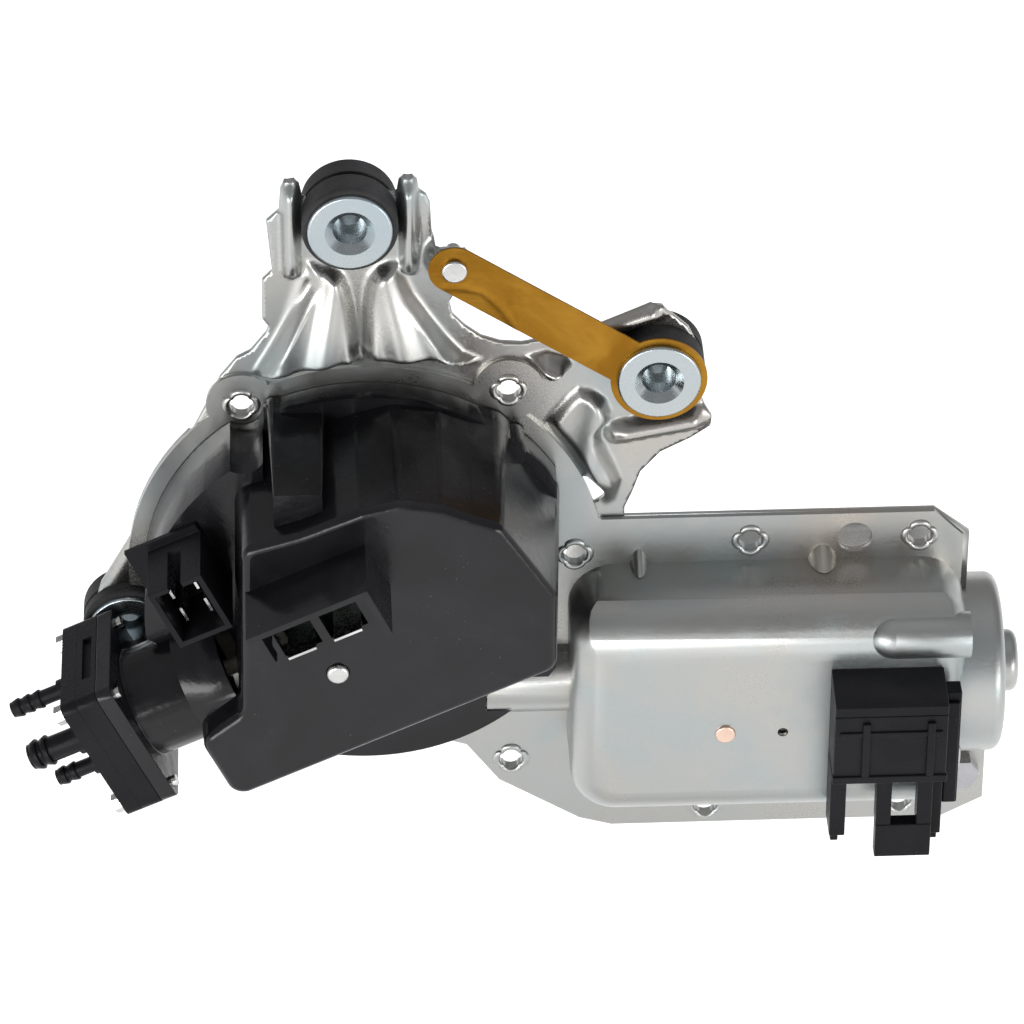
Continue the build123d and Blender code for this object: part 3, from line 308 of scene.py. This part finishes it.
FINISHES = {
    "zinc_steel": zinc_plate("zinc_plate", (0.440, 0.435, 0.415), (0.40, 0.43, 0.43),
                             (0.475, 0.435, 0.395)),
    "sleeve_zinc": zinc_plate("blue_zinc", (0.44, 0.48, 0.495), (0.39, 0.455, 0.49),
                              (0.47, 0.485, 0.48), 0.20),
    "strap_gold": gold_strap(),
    "rubber": rubber(),
    "cover_plastic": black_moulding("gloss_black", 0.15, 0.34, 260, 0.00009),
    "connector_plastic": black_moulding("satin_black", 0.36, 0.14, 900, 0.00012),
    "tinned": plain_metal("tin", (0.66, 0.66, 0.64), (0.50, 0.50, 0.50), 0.16),
    "dark_steel": plain_metal("ground_steel", (0.46, 0.46, 0.47), (0.36, 0.36, 0.38), 0.24),
    "laminations": plain_metal("laminations", (0.28, 0.29, 0.31), (0.20, 0.21, 0.23), 0.35,
                               2500, (6, 1, 1)),
    "winding_copper": plain_metal("enamelled_wire", (0.60, 0.22, 0.09), (0.42, 0.14, 0.06), 0.28,
                                  1500, (5, 1, 1)),
    "commutator_copper": plain_metal("turned_copper", (0.80, 0.45, 0.28), (0.60, 0.33, 0.2), 0.25),
    "ferrite": plain_moulding("ferrite", (0.06, 0.06, 0.065), (0.09, 0.09, 0.09), 0.55),
    "gear_nylon": plain_moulding("natural_nylon", (0.80, 0.77, 0.68), (0.70, 0.66, 0.56), 0.38),
    "sintered_bronze": plain_metal("sintered_bronze", (0.55, 0.38, 0.20), (0.40, 0.28, 0.16), 0.4),
    "board": plain_moulding("solder_mask", (0.010, 0.022, 0.014), (0.008, 0.016, 0.010), 0.3),
    "carbon": plain_moulding("carbon", (0.03, 0.03, 0.03), (0.05, 0.05, 0.05), 0.5),
    "spring_steel": plain_metal("spring_steel", (0.55, 0.55, 0.56), (0.42, 0.42, 0.44), 0.22),
    "rivet_copper": plain_metal("copper_wash", (0.84, 0.66, 0.55), (0.72, 0.52, 0.42), 0.26),
    "gasket_cork": plain_moulding("gasket", (0.03, 0.03, 0.03), (0.05, 0.05, 0.045), 0.7),
}


def dress_cad_nodes():
    """Give every CAD node the finish of its slot."""
    for part in frame["record"]["subparts"]:
        piece = frame["nodes"][part["node"]]
        finish = FINISHES[part["material_slot"]]
        for slot in piece.material_slots:
            slot.material = finish
        if not piece.material_slots:
            piece.data.materials.append(finish)


# ------------------------------------------------------------------ shapes in mesh code
def smooth_step(low, high, value):
    t = min(1.0, max(0.0, (value - low) / (high - low)))
    return t * t * (3 - 2 * t)


def segment_distance(x, z, a, b):
    """Distance from a point to the line a-b, and how far along it the nearest point is."""
    ux, uz = b[0] - a[0], b[1] - a[1]
    t = max(0.0, min(1.0, ((x - a[0]) * ux + (z - a[1]) * uz) / (ux * ux + uz * uz)))
    return hypot(x - a[0] - ux * t, z - a[1] - uz * t), t


def path_distance(x, z, path):
    return min(segment_distance(x, z, a, b)[0] for a, b in zip(path, path[1:]))


def is_inside(x, z, outline):
    inside = False
    for (x0, z0), (x1, z1) in zip(outline, outline[1:] + outline[:1]):
        if (z0 > z) != (z1 > z) and x < (x1 - x0) * (z - z0) / (z1 - z0) + x0:
            inside = not inside
    return inside


def depth_inside(x, z, outline):
    """Distance to the outline, positive inside it."""
    distance = path_distance(x, z, outline + outline[:1])
    return distance if is_inside(x, z, outline) else -distance


def arc(cx, cz, radius, start, end, count):
    """Points of an arc, angles in degrees."""
    step = (end - start) / (count - 1)
    turns = [radians(start + step * i) for i in range(count)]
    return [(cx + radius * cos(turn), cz + radius * sin(turn)) for turn in turns]


def resampled(points, step):
    """The closed outline with points no further apart than step."""
    result = []
    for a, b in zip(points, points[1:] + points[:1]):
        span = hypot(b[0] - a[0], b[1] - a[1])
        parts = max(1, int(span / step + 0.5))
        result += [(a[0] + (b[0] - a[0]) * i / parts, a[1] + (b[1] - a[1]) * i / parts)
                   for i in range(parts)]
    return [p for p, before in zip(result, result[-1:] + result)
            if hypot(p[0] - before[0], p[1] - before[1]) > 1e-4]


def bridge(bm, rings, closed=False):
    """Faces from each ring of vertices to the next; closed joins the last to the first too."""
    following = rings[1:] + (rings[:1] if closed else [])
    for first, second in zip(rings, following):
        for k in range(len(first)):
            j = (k + 1) % len(first)
            bm.faces.new([first[k], first[j], second[j], second[k]])


def add_rounding(piece, width, angle):
    """Rounds the edges sharper than an angle in degrees; the width is in metres."""
    rounding = piece.modifiers.new("rounded", "BEVEL")
    rounding.width = width
    rounding.segments = 3
    rounding.limit_method = "ANGLE"
    rounding.angle_limit = radians(angle)
    rounding.harden_normals = True


def new_piece(name, bm, material_slot, body="housing", sharp=42):
    """Mesh in millimetres to an object in metres, with the slot's finish."""
    bmesh.ops.recalc_face_normals(bm, faces=bm.faces)
    mesh = bpy.data.meshes.new(name)
    bmesh.ops.scale(bm, vec=(MM, MM, MM), verts=bm.verts)
    bm.to_mesh(mesh)
    bm.free()
    mesh.shade_smooth()
    mesh.set_sharp_from_angle(angle=radians(sharp))
    piece = bpy.data.objects.new(name, mesh)
    bpy.context.scene.collection.objects.link(piece)
    mesh.materials.append(FINISHES[material_slot])
    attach(piece, body)
    return piece


HOLE_POINTS = 28
ROW_PITCH = 0.866  # rows of even triangles lie this share of their side apart


def formed_sheet(bm, outline, holes, height, thickness, step):
    """Sheet with a formed front: height(x, z) gives the front face's y in millimetres.

    The rear face follows at the sheet's thickness. Round holes are (x, z, radius).
    """
    last_turn = 360 * (HOLE_POINTS - 1) / HOLE_POINTS
    loops = [resampled(outline, step)] + [
        arc(x, z, radius, 0, last_turn, HOLE_POINTS) for x, z, radius in holes]
    points, edges = [], []
    for loop in loops:
        first = len(points)
        points += [Vector(p) for p in loop]
        edges += [(first + i, first + (i + 1) % len(loop)) for i in range(len(loop))]
    xs, zs = [p[0] for p in outline], [p[1] for p in outline]
    rows = int((max(zs) - min(zs)) / (step * ROW_PITCH))
    columns = int((max(xs) - min(xs)) / step)
    for row in range(rows + 1):
        for column in range(columns + 1):
            x = min(xs) + (column + 0.5 * (row % 2)) * step
            z = min(zs) + row * step * ROW_PITCH
            if depth_inside(x, z, outline) > step * 0.5 and all(
                    hypot(x - hx, z - hz) > radius + step * 0.5 for hx, hz, radius in holes):
                points.append(Vector((x, z)))
    verts, _, faces = geometry.delaunay_2d_cdt(points, edges, [], 0, 1e-5)[:3]
    keep = []
    for face in faces:
        mx = sum(verts[i][0] for i in face) / 3
        mz = sum(verts[i][1] for i in face) / 3
        if is_inside(mx, mz, outline) and all(
                hypot(mx - hx, mz - hz) > radius * 0.998 for hx, hz, radius in holes):
            keep.append(face)
    used = sorted({i for face in keep for i in face})
    depth = {i: height(verts[i][0], verts[i][1]) for i in used}
    front = {i: bm.verts.new((verts[i][0], depth[i], verts[i][1])) for i in used}
    rear = {i: bm.verts.new((verts[i][0], depth[i] + thickness, verts[i][1])) for i in used}
    sides = {}
    for face in keep:
        bm.faces.new([front[i] for i in face])
        bm.faces.new([rear[i] for i in reversed(face)])
        for a, b in zip(face, face[1:] + face[:1]):
            key = (min(a, b), max(a, b))
            sides[key] = None if key in sides else (a, b)
    for pair in sides.values():
        if pair:
            a, b = pair
            bm.faces.new([front[b], front[a], rear[a], rear[b]])


# ------------------------------------------------------------------ rear frame's bracket
SEAM_Y = -32.4
SHEET = 1.6
TOP_EAR = (-3.0, 123.5)
RIGHT_EAR = (87.0, 69.0)
STRAP_RIVET = (27.0, 109.0)
EYELETS = [(-36.0, 59.0), (43.0, 62.0), (63.0, 1.5), (116.0, 5.0),
           (167.3, 5.3), (43.7, -76.0), (104.3, -96.3), (165.0, -96.3)]
RING = 71.5
BRACKET_SEAT = 62.0
SEAT_START = 7.6  # degrees up from the motor's side
BRACKET_SURROUND = [(-60.1, 57.2), (-60, 145), (112, 145), (112, 14.02), (71.5, 14.02)]
EAR_HOLE, RIVET_HOLE, EYELET_HOLE, SLEEVE_HOLE = 10.5, 2.55, 4.45, 6.55
LIGHT_HOLE = (66.5, 24.0, 5.2)
PAD_RISE, FLUTE_RISE, BOSS_RISE, HIGHEST_RISE = 2.6, 1.9, 7.7, 8.6
BRACKET_OUTLINE = [
    (-51, 48.6), (-46.5, 58), (-42, 68), (-37, 74.5), (-32.9, 76.8), (-28.2, 83),
    (-27.2, 85.5), (-29.1, 88.4), (-28.8, 101.6), (-25.8, 104.7), (-27.1, 121.9),
    (-23.4, 125.4), (-22.8, 133.2), (-21.6, 136.2), (-18.8, 136.5), (-17.4, 134.4), (-16.6, 130.0),
    (-14.2, 129.4), (-11, 133.2), (-4, 136.0), (4, 134.8), (9.2, 130.4), (10.8, 131.0),
    (11.4, 135.0), (12.8, 136.9), (15.2, 136.9), (16.7, 135.0), (17.2, 131.2),
    (19.2, 129.6), (20.4, 126.6), (20.6, 121), (20.8, 117.0), (21.8, 113.9),
    (24.2, 114.9), (27, 115.4), (30.2, 114.6), (32.5, 112.4), (33.4, 109), (33.0, 105.4),
    (31.2, 101.6), (28.6, 98.4), (25.7, 92.7), (26.6, 88), (30.3, 83.8), (35, 80),
    (40.6, 77.9), (47, 77.3), (53.8, 78.6), (70.2, 84.6), (84.6, 90.6), (88.2, 89.9),
    (90.0, 87.4), (96, 81.5), (100, 73), (100.2, 66.3), (98.6, 60.7), (101.5, 53.6), (103.4, 50.7),
    (103.1, 46.4), (97.3, 42.2), (88.4, 37.4), (82.5, 30.4), (80.1, 23),
    (77.9, 17.5), (77.9, 14.0), (71.5, 14.0),
]
LEFT_PAD = [
    (-16.2, 108.9), (-13.1, 108.2), (-8.5, 106.8), (-4.4, 104.2), (-2.6, 99.5), (-1.7, 93),
    (-1.2, 85), (-0.8, 77.5), (0.6, 72.4), (-11.7, 70.2), (-22.2, 69.4), (-32.0, 67.6),
    (-32.7, 69.8), (-27.2, 79.7), (-20.7, 91.5), (-15.6, 100.7),
]
RIGHT_PAD = [
    (1.2, 103.2), (4.0, 106.2), (8, 108.2), (12.6, 108.4), (14.2, 102.2), (16.2, 96.6),
    (20.0, 89.7), (25.2, 81.4), (30, 75.4), (35.5, 72.6), (44.4, 72.8), (54.2, 75.2), (60.5, 73),
    (62.5, 69.4), (58.4, 65.2), (52.5, 64.2), (46, 73), (35, 71.4), (30, 70.4), (19.9, 72.7),
    (1.5, 72.6), (-0.2, 77.5), (-0.2, 85), (-0.3, 93), (0.2, 99),
]
EAR_PAD = [
    (53.2, 49.6), (55.7, 53), (59.6, 58.3), (63.6, 62.6), (68.9, 61.0), (72.4, 57.5), (74.3, 53.0),
    (74.2, 50), (71.2, 46.2), (71.4, 43.8), (73.6, 38.4), (75.6, 33.3), (77.3, 28.1),
    (76.0, 20.7), (71.8, 14.6), (68.0, 20), (61.6, 30.5), (56, 41.6),
]


RIBS = [
    ((-20.1, 105.5), (-20.1, 136.0), 2.9, 4.6), ((14.1, 106.0), (14.1, 136.0), 2.9, 4.8),
    ((75.4, 45.2), (102.0, 50.4), 4.2, 4.4), ((68.8, 81.4), (88.0, 88.6), 3.6, 3.6),
]


def bracket_height(x, z):
    """Front face of the bracket: pads, rolled ribs and lips pressed out of the flat sheet."""
    reach = hypot(x, z)
    lift = 0.0
    fall = 4.2 * smooth_step(108, 72, z)  # the pads lean back from the ring to the ear
    left = depth_inside(x, z, LEFT_PAD)
    if left > 0:
        flute = 0.5 + 0.5 * cos((x + 9.0 + 0.16 * (92 - z)) * 2 * pi / (8.6 + 0.10 * (108 - z)))
        lift = smooth_step(0, 4.0, left) * (PAD_RISE + FLUTE_RISE * flute + fall)
    right = depth_inside(x, z, RIGHT_PAD)
    if right > 0:
        flute = 0.5 + 0.5 * cos((x - 8.2 - 0.22 * (96 - z)) * 2 * pi / (10.5 + 0.12 * (108 - z)))
        lift = max(lift, smooth_step(0, 4.4, right) * (PAD_RISE + FLUTE_RISE * flute + fall))
    ear = depth_inside(x, z, EAR_PAD)
    if ear > 0:
        ridge = segment_distance(x, z, (70.5, 56.5), (64.0, 26.0))[0]
        lean = 3.0 * smooth_step(62, 24, z)
        swell = 2.4 + lean + 2.0 * exp(-(ridge / 4.2) ** 2)
        lift = max(lift, smooth_step(0, 3.8, ear) * swell * smooth_step(17, 31, z))
    # fall back to the flat sheet before the ring
    lift *= smooth_step(RING + 0.3, RING + 5.0, reach)
    for spot in EYELETS[:2]:
        lift *= smooth_step(10.6, 13.6, hypot(x - spot[0], z - spot[1]))
    # rolled ribs beside the grommets, and the folded lip over the right one
    for a, b, radius, rise in RIBS:
        distance, along = segment_distance(x, z, a, b)
        if distance < radius:
            round_top = cos(distance / radius * pi / 2) ** 0.8
            ends = smooth_step(-0.3, 0.12, along) * (1 - 0.7 * smooth_step(0.84, 1.02, along))
            lift = max(lift, rise * round_top * ends)
    # ridge that runs round the open bay to the right ear
    ridge = path_distance(x, z, [(-24, 78), (-19.5, 92), (-16.3, 103)])
    lift += 0.9 * exp(-(ridge / 1.5) ** 2)
    # boss under the strap
    boss = hypot(x - STRAP_RIVET[0], z - STRAP_RIVET[1])
    lift = max(lift, BOSS_RISE * (1 - smooth_step(5.6, 8.8, boss)))
    return SEAM_Y - min(lift, HIGHEST_RISE)


def cad_copy(node):
    """The CAD node's mesh in millimetres, its split corners joined again."""
    bm = bmesh.new()
    source = frame["nodes"][node]
    bm.from_mesh(source.data)
    bmesh.ops.transform(bm, matrix=source.matrix_world, verts=bm.verts)
    bmesh.ops.scale(bm, vec=(1 / MM, 1 / MM, 1 / MM), verts=bm.verts)
    bmesh.ops.remove_doubles(bm, verts=bm.verts, dist=1e-4)
    return bm


def cut_away(bm, outline, low_y, high_y):
    """Takes a straight-sided column out of the mesh."""
    cutter = bmesh.new()
    bottom = [cutter.verts.new((x, low_y, z)) for x, z in outline]
    top = [cutter.verts.new((x, high_y, z)) for x, z in outline]
    cutter.faces.new(bottom)
    cutter.faces.new(list(reversed(top)))
    for i in range(len(outline)):
        j = (i + 1) % len(outline)
        cutter.faces.new([bottom[j], bottom[i], top[i], top[j]])
    bmesh.ops.recalc_face_normals(cutter, faces=cutter.faces)
    bmesh.ops.recalc_face_normals(bm, faces=bm.faces)
    objects = []
    for mesh_data in (bm, cutter):
        mesh = bpy.data.meshes.new("work")
        mesh_data.to_mesh(mesh)
        mesh_data.free()
        objects.append(bpy.data.objects.new("work", mesh))
        bpy.context.scene.collection.objects.link(objects[-1])
    body, tool = objects
    cut = body.modifiers.new("cut", "BOOLEAN")
    cut.object = tool
    cut.operation = "DIFFERENCE"
    cut.solver = "EXACT"
    evaluated = body.evaluated_get(bpy.context.evaluated_depsgraph_get())
    result = bmesh.new()
    result.from_mesh(evaluated.to_mesh())
    evaluated.to_mesh_clear()
    for made in objects:
        mesh = made.data
        bpy.data.objects.remove(made)
        bpy.data.meshes.remove(mesh)
    return result


def degrees_of(point):
    return atan2(point[1], point[0]) * 180 / pi


def make_back_frame():
    """The rear half's pan and shell as they are, and its bracket formed anew from a sheet."""
    seat = arc(0, 0, BRACKET_SEAT, SEAT_START, degrees_of(BRACKET_OUTLINE[0]), 40)
    bm = cut_away(cad_copy("back_frame"), seat + BRACKET_SURROUND, -60, 20)
    holes = [(*TOP_EAR, EAR_HOLE), (*RIGHT_EAR, EAR_HOLE), (*STRAP_RIVET, RIVET_HOLE), LIGHT_HOLE,
             (*EYELETS[0], EYELET_HOLE), (*EYELETS[1], EYELET_HOLE)]
    formed_sheet(bm, BRACKET_OUTLINE + seat, holes, bracket_height, SHEET, 0.95)
    piece = new_piece("rear_frame_pressing", bm, "zinc_steel", sharp=62)
    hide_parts("back_frame")


# ------------------------------------------------------------------ small formed pieces
def make_eyelets():
    """Collars of the rear half, split in four and folded over the front flange."""
    bm = bmesh.new()
    count = 48
    flange = SEAM_Y - SHEET
    for cx, cz in EYELETS:
        rings = []
        for radius, depth, spread in ((3.7, SEAM_Y + SHEET, 0.0), (3.5, flange + 0.2, 0.0),
                                      (3.75, flange - 0.55, 0.25), (4.35, flange - 0.88, 0.45),
                                      (5.0, flange - 0.6, 0.75), (5.3, flange - 0.12, 0.95),
                                      (4.6, flange - 0.05, 0.0), (4.35, flange, 0.0),
                                      (4.35, SEAM_Y + SHEET, 0.0)):
            ring = []
            for k in range(count):
                turn = 2 * pi * k / count
                petal = abs(cos(2 * turn)) ** 0.5
                notch = 1 - petal
                r = radius + spread * (petal - 0.55) - (0.35 * notch if radius < 3.8 else 0)
                y = depth + (0.55 * notch * spread)
                ring.append(bm.verts.new((cx + r * cos(turn), y, cz + r * sin(turn))))
            rings.append(ring)
        bridge(bm, rings, closed=True)
    piece = new_piece("folded_eyelets", bm, "zinc_steel", sharp=50)
    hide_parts("flange_eyelets")


STRAP_REAR_Y = -40.175
STRAP_THICKNESS = 0.8
STRAP_HALF = 7.6
STRAP_END = 14.3
STRAP_CREASE = [(24.5, 103.2), (29.5, 102.9), (35.4, 101.1), (40.3, 95.8), (45, 88.5)]


def strap_height(x, z):
    """Front face of the strap, with the crease across it and the dished rim at its rivet."""
    crease = path_distance(x, z, STRAP_CREASE)
    rim = hypot(x - STRAP_RIVET[0], z - STRAP_RIVET[1])
    swell = 0.34 * exp(-(crease / 0.8) ** 2) - 0.12 * exp(-((rim - 5.2) / 0.9) ** 2)
    return STRAP_REAR_Y - STRAP_THICKNESS + 0.16 - swell


def make_strap():
    """Flat strap from the bracket's rivet to the eye under the right sleeve."""
    run = Vector((RIGHT_EAR[0] - STRAP_RIVET[0], RIGHT_EAR[1] - STRAP_RIVET[1]))
    heading = degrees_of(run)
    near = arc(*STRAP_RIVET, STRAP_HALF, heading + 90, heading + 270, 24)
    opening = 180 - 180 / pi * atan2(STRAP_HALF, sqrt(STRAP_END ** 2 - STRAP_HALF ** 2))
    far = arc(*RIGHT_EAR, STRAP_END, heading - opening, heading + opening, 48)
    bm = bmesh.new()
    holes = [(*STRAP_RIVET, RIVET_HOLE), (*RIGHT_EAR, SLEEVE_HOLE)]
    formed_sheet(bm, near + far, holes, strap_height, STRAP_THICKNESS - 0.12, 1.0)
    piece = new_piece("earth_strap", bm, "strap_gold", sharp=50)
    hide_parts("ground_strap")


# ------------------------------------------------------------------ motor's shell and connector
def block(bm, x, y, z, lean=0.0):
    """Box from three (low, high) pairs; lean moves the front of its top down."""
    corners = [bm.verts.new((x[i], y[j], z[k] - (lean if k == 1 and j == 0 else 0)))
               for i in (0, 1) for j in (0, 1) for k in (0, 1)]
    for face in ((0, 1, 3, 2), (4, 6, 7, 5), (0, 4, 5, 1), (2, 3, 7, 6), (0, 2, 6, 4),
                 (1, 5, 7, 3)):
        bm.faces.new([corners[i] for i in face])


def rounded_piece(name, bm, material_slot, width):
    piece = new_piece(name, bm, material_slot, sharp=30)
    add_rounding(piece, width * MM, 30)
    return piece


BOX_BACK = -61.85
BOX_FRONT = -78.35
BOX_LEFT, BOX_RIGHT = 139.0, 173.0
BOX_TOP, BOX_RIM, LEG_END = -23.5, -53.0, -79.0
RIB_STARTS = (147.3, 166.8)
LATCH_STARTS = (152.6, 165.0)
LATCH_WIDTH = 4.6
LATCH_FRONT, LATCH_KNEE, LATCH_END = -77.0, -72.0, -84.3


def make_connector():
    """Motor connector: hood, forked legs, latch loop, side rail and ribs."""
    bm = bmesh.new()
    block(bm, (BOX_LEFT, BOX_RIGHT), (BOX_FRONT, BOX_BACK), (BOX_TOP - 6, BOX_TOP), 2.4)
    block(bm, (BOX_LEFT, BOX_RIGHT), (BOX_BACK - 2, BOX_BACK), (BOX_RIM - 6, BOX_TOP - 6.01))
    block(bm, (BOX_LEFT, BOX_RIGHT), (BOX_FRONT, BOX_FRONT + 2), (BOX_RIM, BOX_TOP - 6.01))
    block(bm, (BOX_LEFT - 0.4, BOX_RIGHT + 0.4), (BOX_FRONT - 0.8, BOX_FRONT + 1.8),
          (BOX_RIM - 1.2, BOX_RIM + 1.4))
    block(bm, (BOX_LEFT + 1.5, BOX_RIGHT - 1.5), (BOX_FRONT - 0.7, BOX_FRONT + 1),
          (BOX_TOP - 13.5, BOX_TOP - 11.5))
    for inner, outer in ((BOX_LEFT + 2.01, BOX_LEFT), (BOX_RIGHT, BOX_RIGHT - 2.01)):
        block(bm, (outer, inner), (BOX_FRONT + 2.01, BOX_BACK - 2.01), (BOX_RIM, BOX_TOP - 6.01))
    for left, foot in ((BOX_LEFT, BOX_LEFT + 0.6), (BOX_RIGHT - 4.8, BOX_RIGHT - 3.2)):
        block(bm, (left, left + 4.8), (BOX_BACK - 11, BOX_BACK), (LEG_END, BOX_RIM - 1.3))
        block(bm, (foot, foot + 2.4), (BOX_BACK - 9, BOX_BACK - 3), (LEG_END - 3.4, LEG_END - 0.01))
    for x in RIB_STARTS:
        block(bm, (x, x + 2.4), (BOX_FRONT - 1.2, BOX_FRONT + 1), (BOX_RIM + 1.5, BOX_TOP - 8))
    for x in LATCH_STARTS:
        block(bm, (x, x + LATCH_WIDTH), (LATCH_FRONT, -71.0), (LATCH_KNEE, BOX_RIM + 6))
    block(bm, (LATCH_STARTS[0], LATCH_STARTS[1] + LATCH_WIDTH), (LATCH_FRONT, LATCH_FRONT + 5),
          (LATCH_END, LATCH_KNEE - 0.01))
    block(bm, (BOX_RIGHT + 0.01, BOX_RIGHT + 5.2), (BOX_BACK - 6, BOX_BACK), (-71, -29))
    block(bm, (BOX_RIGHT + 0.6, BOX_RIGHT + 4.6), (BOX_BACK - 7.4, BOX_BACK - 6.01), (-70, -32))
    piece = rounded_piece("motor_plug_housing", bm, "connector_plastic", 0.45)
    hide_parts("motor_connector")


SWAGE_END = (158.2, -56.8, -15.5)
SWAGE_RADIUS = 7.0
NOSE_LENGTH = 8.5
FLANGE_FRONT_Y = -33.9
SHELL_ROOT_Z = -2.6
DARTS = [(79.5, 85.0), (133.5, 142.5)]  # where each one starts and ends along the shell


def make_swage_nose():
    """Rounded nose that closes the rolled swage beside the connector."""
    bm = bmesh.new()
    x, y, z = SWAGE_END
    steps, rounds = 28, 9
    rings = []
    for k in range(rounds):
        angle = k / rounds * pi / 2
        radius = SWAGE_RADIUS * cos(angle)
        rings.append([bm.verts.new((x - NOSE_LENGTH * sin(angle),
                                    y + radius * cos(2 * pi * i / steps),
                                    z + radius * sin(2 * pi * i / steps)))
                      for i in range(steps)])
    tip = bm.verts.new((x - NOSE_LENGTH, y, z))
    bridge(bm, rings)
    for i in range(steps):
        bm.faces.new([rings[-1][i], rings[-1][(i + 1) % steps], tip])
    bm.faces.new(list(reversed(rings[0])))
    new_piece("swage_nose", bm, "zinc_steel", sharp=60)


def make_darts():
    """Pressed darts that stiffen the corner between the flange and the shell."""
    bm = bmesh.new()
    y, z = FLANGE_FRONT_Y, SHELL_ROOT_Z
    for left, right in DARTS:
        rows = []
        for k in range(13):
            t = k / 12
            swell = sin(pi * t) ** 0.6
            x = left + (right - left) * t
            rows.append([bm.verts.new((x, y, z + 5.4 * swell)),
                         bm.verts.new((x, y - 3.6 * swell, z + 3.4 * swell)),
                         bm.verts.new((x, y - 8.0 * swell, z + 0.3 * swell)),
                         bm.verts.new((x, y, z - 0.3))])
        bridge(bm, rows)
        bm.faces.new(rows[0])
        bm.faces.new(list(reversed(rows[-1])))
    bmesh.ops.remove_doubles(bm, verts=bm.verts, dist=0.01)
    new_piece("shell_darts", bm, "zinc_steel", sharp=60)


def soften_edges(nodes, width):
    """Rounded edges on CAD pieces, which keep their own meshes."""
    for node in nodes:
        piece = frame["nodes"][node]
        joined = piece.modifiers.new("joined", "WELD")
        joined.merge_threshold = 2e-6
        add_rounding(piece, width, 32)


# ------------------------------------------------------------------ washer pump
COVER_TURN = radians(25)
PUMP_CENTRE = (-75.0, -61.0, -33.0)
PUMP_HALF = 8.25
VALVE_PLATE = 3.0
BARB_PITCH = 3.4
NOZZLES = [  # to the front, up the block, radius, length, barbs
    (3.0, 17.0, 2.4, 16.0, 3), (13.0, 5.5, 3.9, 15.5, 2), (13.0, -5.0, 2.4, 12.0, 2),
]


def pump_point(out, front, up):
    """Point of the pump's axes: outwards along it, to the front, and up the block."""
    x, y, z = PUMP_CENTRE
    return Vector((x - out * cos(COVER_TURN) - up * sin(COVER_TURN), y - front,
                   z - out * sin(COVER_TURN) + up * cos(COVER_TURN)))


def turned_on_pump(bm, front, up, profile, count=28):
    """Round solid of (distance outwards, radius) points about a line along the pump."""
    rings = []
    for out, radius in profile:
        rings.append([bm.verts.new(pump_point(out, front + radius * cos(2 * pi * k / count),
                                              up + radius * sin(2 * pi * k / count)))
                      for k in range(count)])
    bridge(bm, rings, closed=True)


def make_barbs():
    """Barbs on the hose nozzles."""
    bm = bmesh.new()
    for front, up, radius, length, barbs in NOZZLES:
        tip = PUMP_HALF + VALVE_PLATE + length
        for k in range(barbs):
            end = tip - 0.4 - k * BARB_PITCH
            turned_on_pump(bm, front, up, [
                (end, radius * 0.9), (end - 0.5, radius * 1.06), (end - 2.2, radius * 1.22),
                (end - 2.5, radius * 1.2), (end - 2.6, radius * 0.9)])
    new_piece("hose_barbs", bm, "connector_plastic", sharp=35)


def make_floor():
    low = cad_box[0][2] - FLOOR_DROP
    mesh = bpy.data.meshes.new("floor")
    size = FLOOR_REACH
    corners = [(-size, -size, low), (size, -size, low), (size, size, low), (-size, size, low)]
    mesh.from_pydata(corners, [], [(0, 1, 2, 3)])
    floor = bpy.data.objects.new("floor", mesh)
    finish = Finish("pale_floor", Roughness=0.9, Emission_Color=(1, 1, 1, 1),
                    Emission_Strength=FLOOR_GLOW)
    cloud = finish.noise(2.0, 2)
    finish.colour(finish.blend(cloud, (0.86, 0.86, 0.86), (0.89, 0.89, 0.89)))
    mesh.materials.append(finish.material)
    bpy.context.scene.collection.objects.link(floor)


bpy.context.scene.view_settings.view_transform = "Standard"
make_camera()
make_world()
softbox("key", (-0.9, -1.5, 0.12), (1.3, 0.5), 15)
softbox("fill", (1.1, -1.3, 0.15), (0.9, 0.5), 7)
softbox("top", (0.1, 0.75, 1.5), (1.6, 0.5), 23, mirrored=False)
make_floor()
dress_cad_nodes()
make_back_frame()
make_eyelets()
make_strap()
make_barbs()
make_connector()
make_darts()
make_swage_nose()
soften_edges(["front_frame"], 0.0005)
soften_edges(["gear_cover"], 0.0006)
soften_edges(["harness_socket", "pump_body", "valve_plate", "pump_tube"], 0.0004)
soften_edges(["clamp_bolt", "cover_pin", "pump_bolts"], 0.0003)
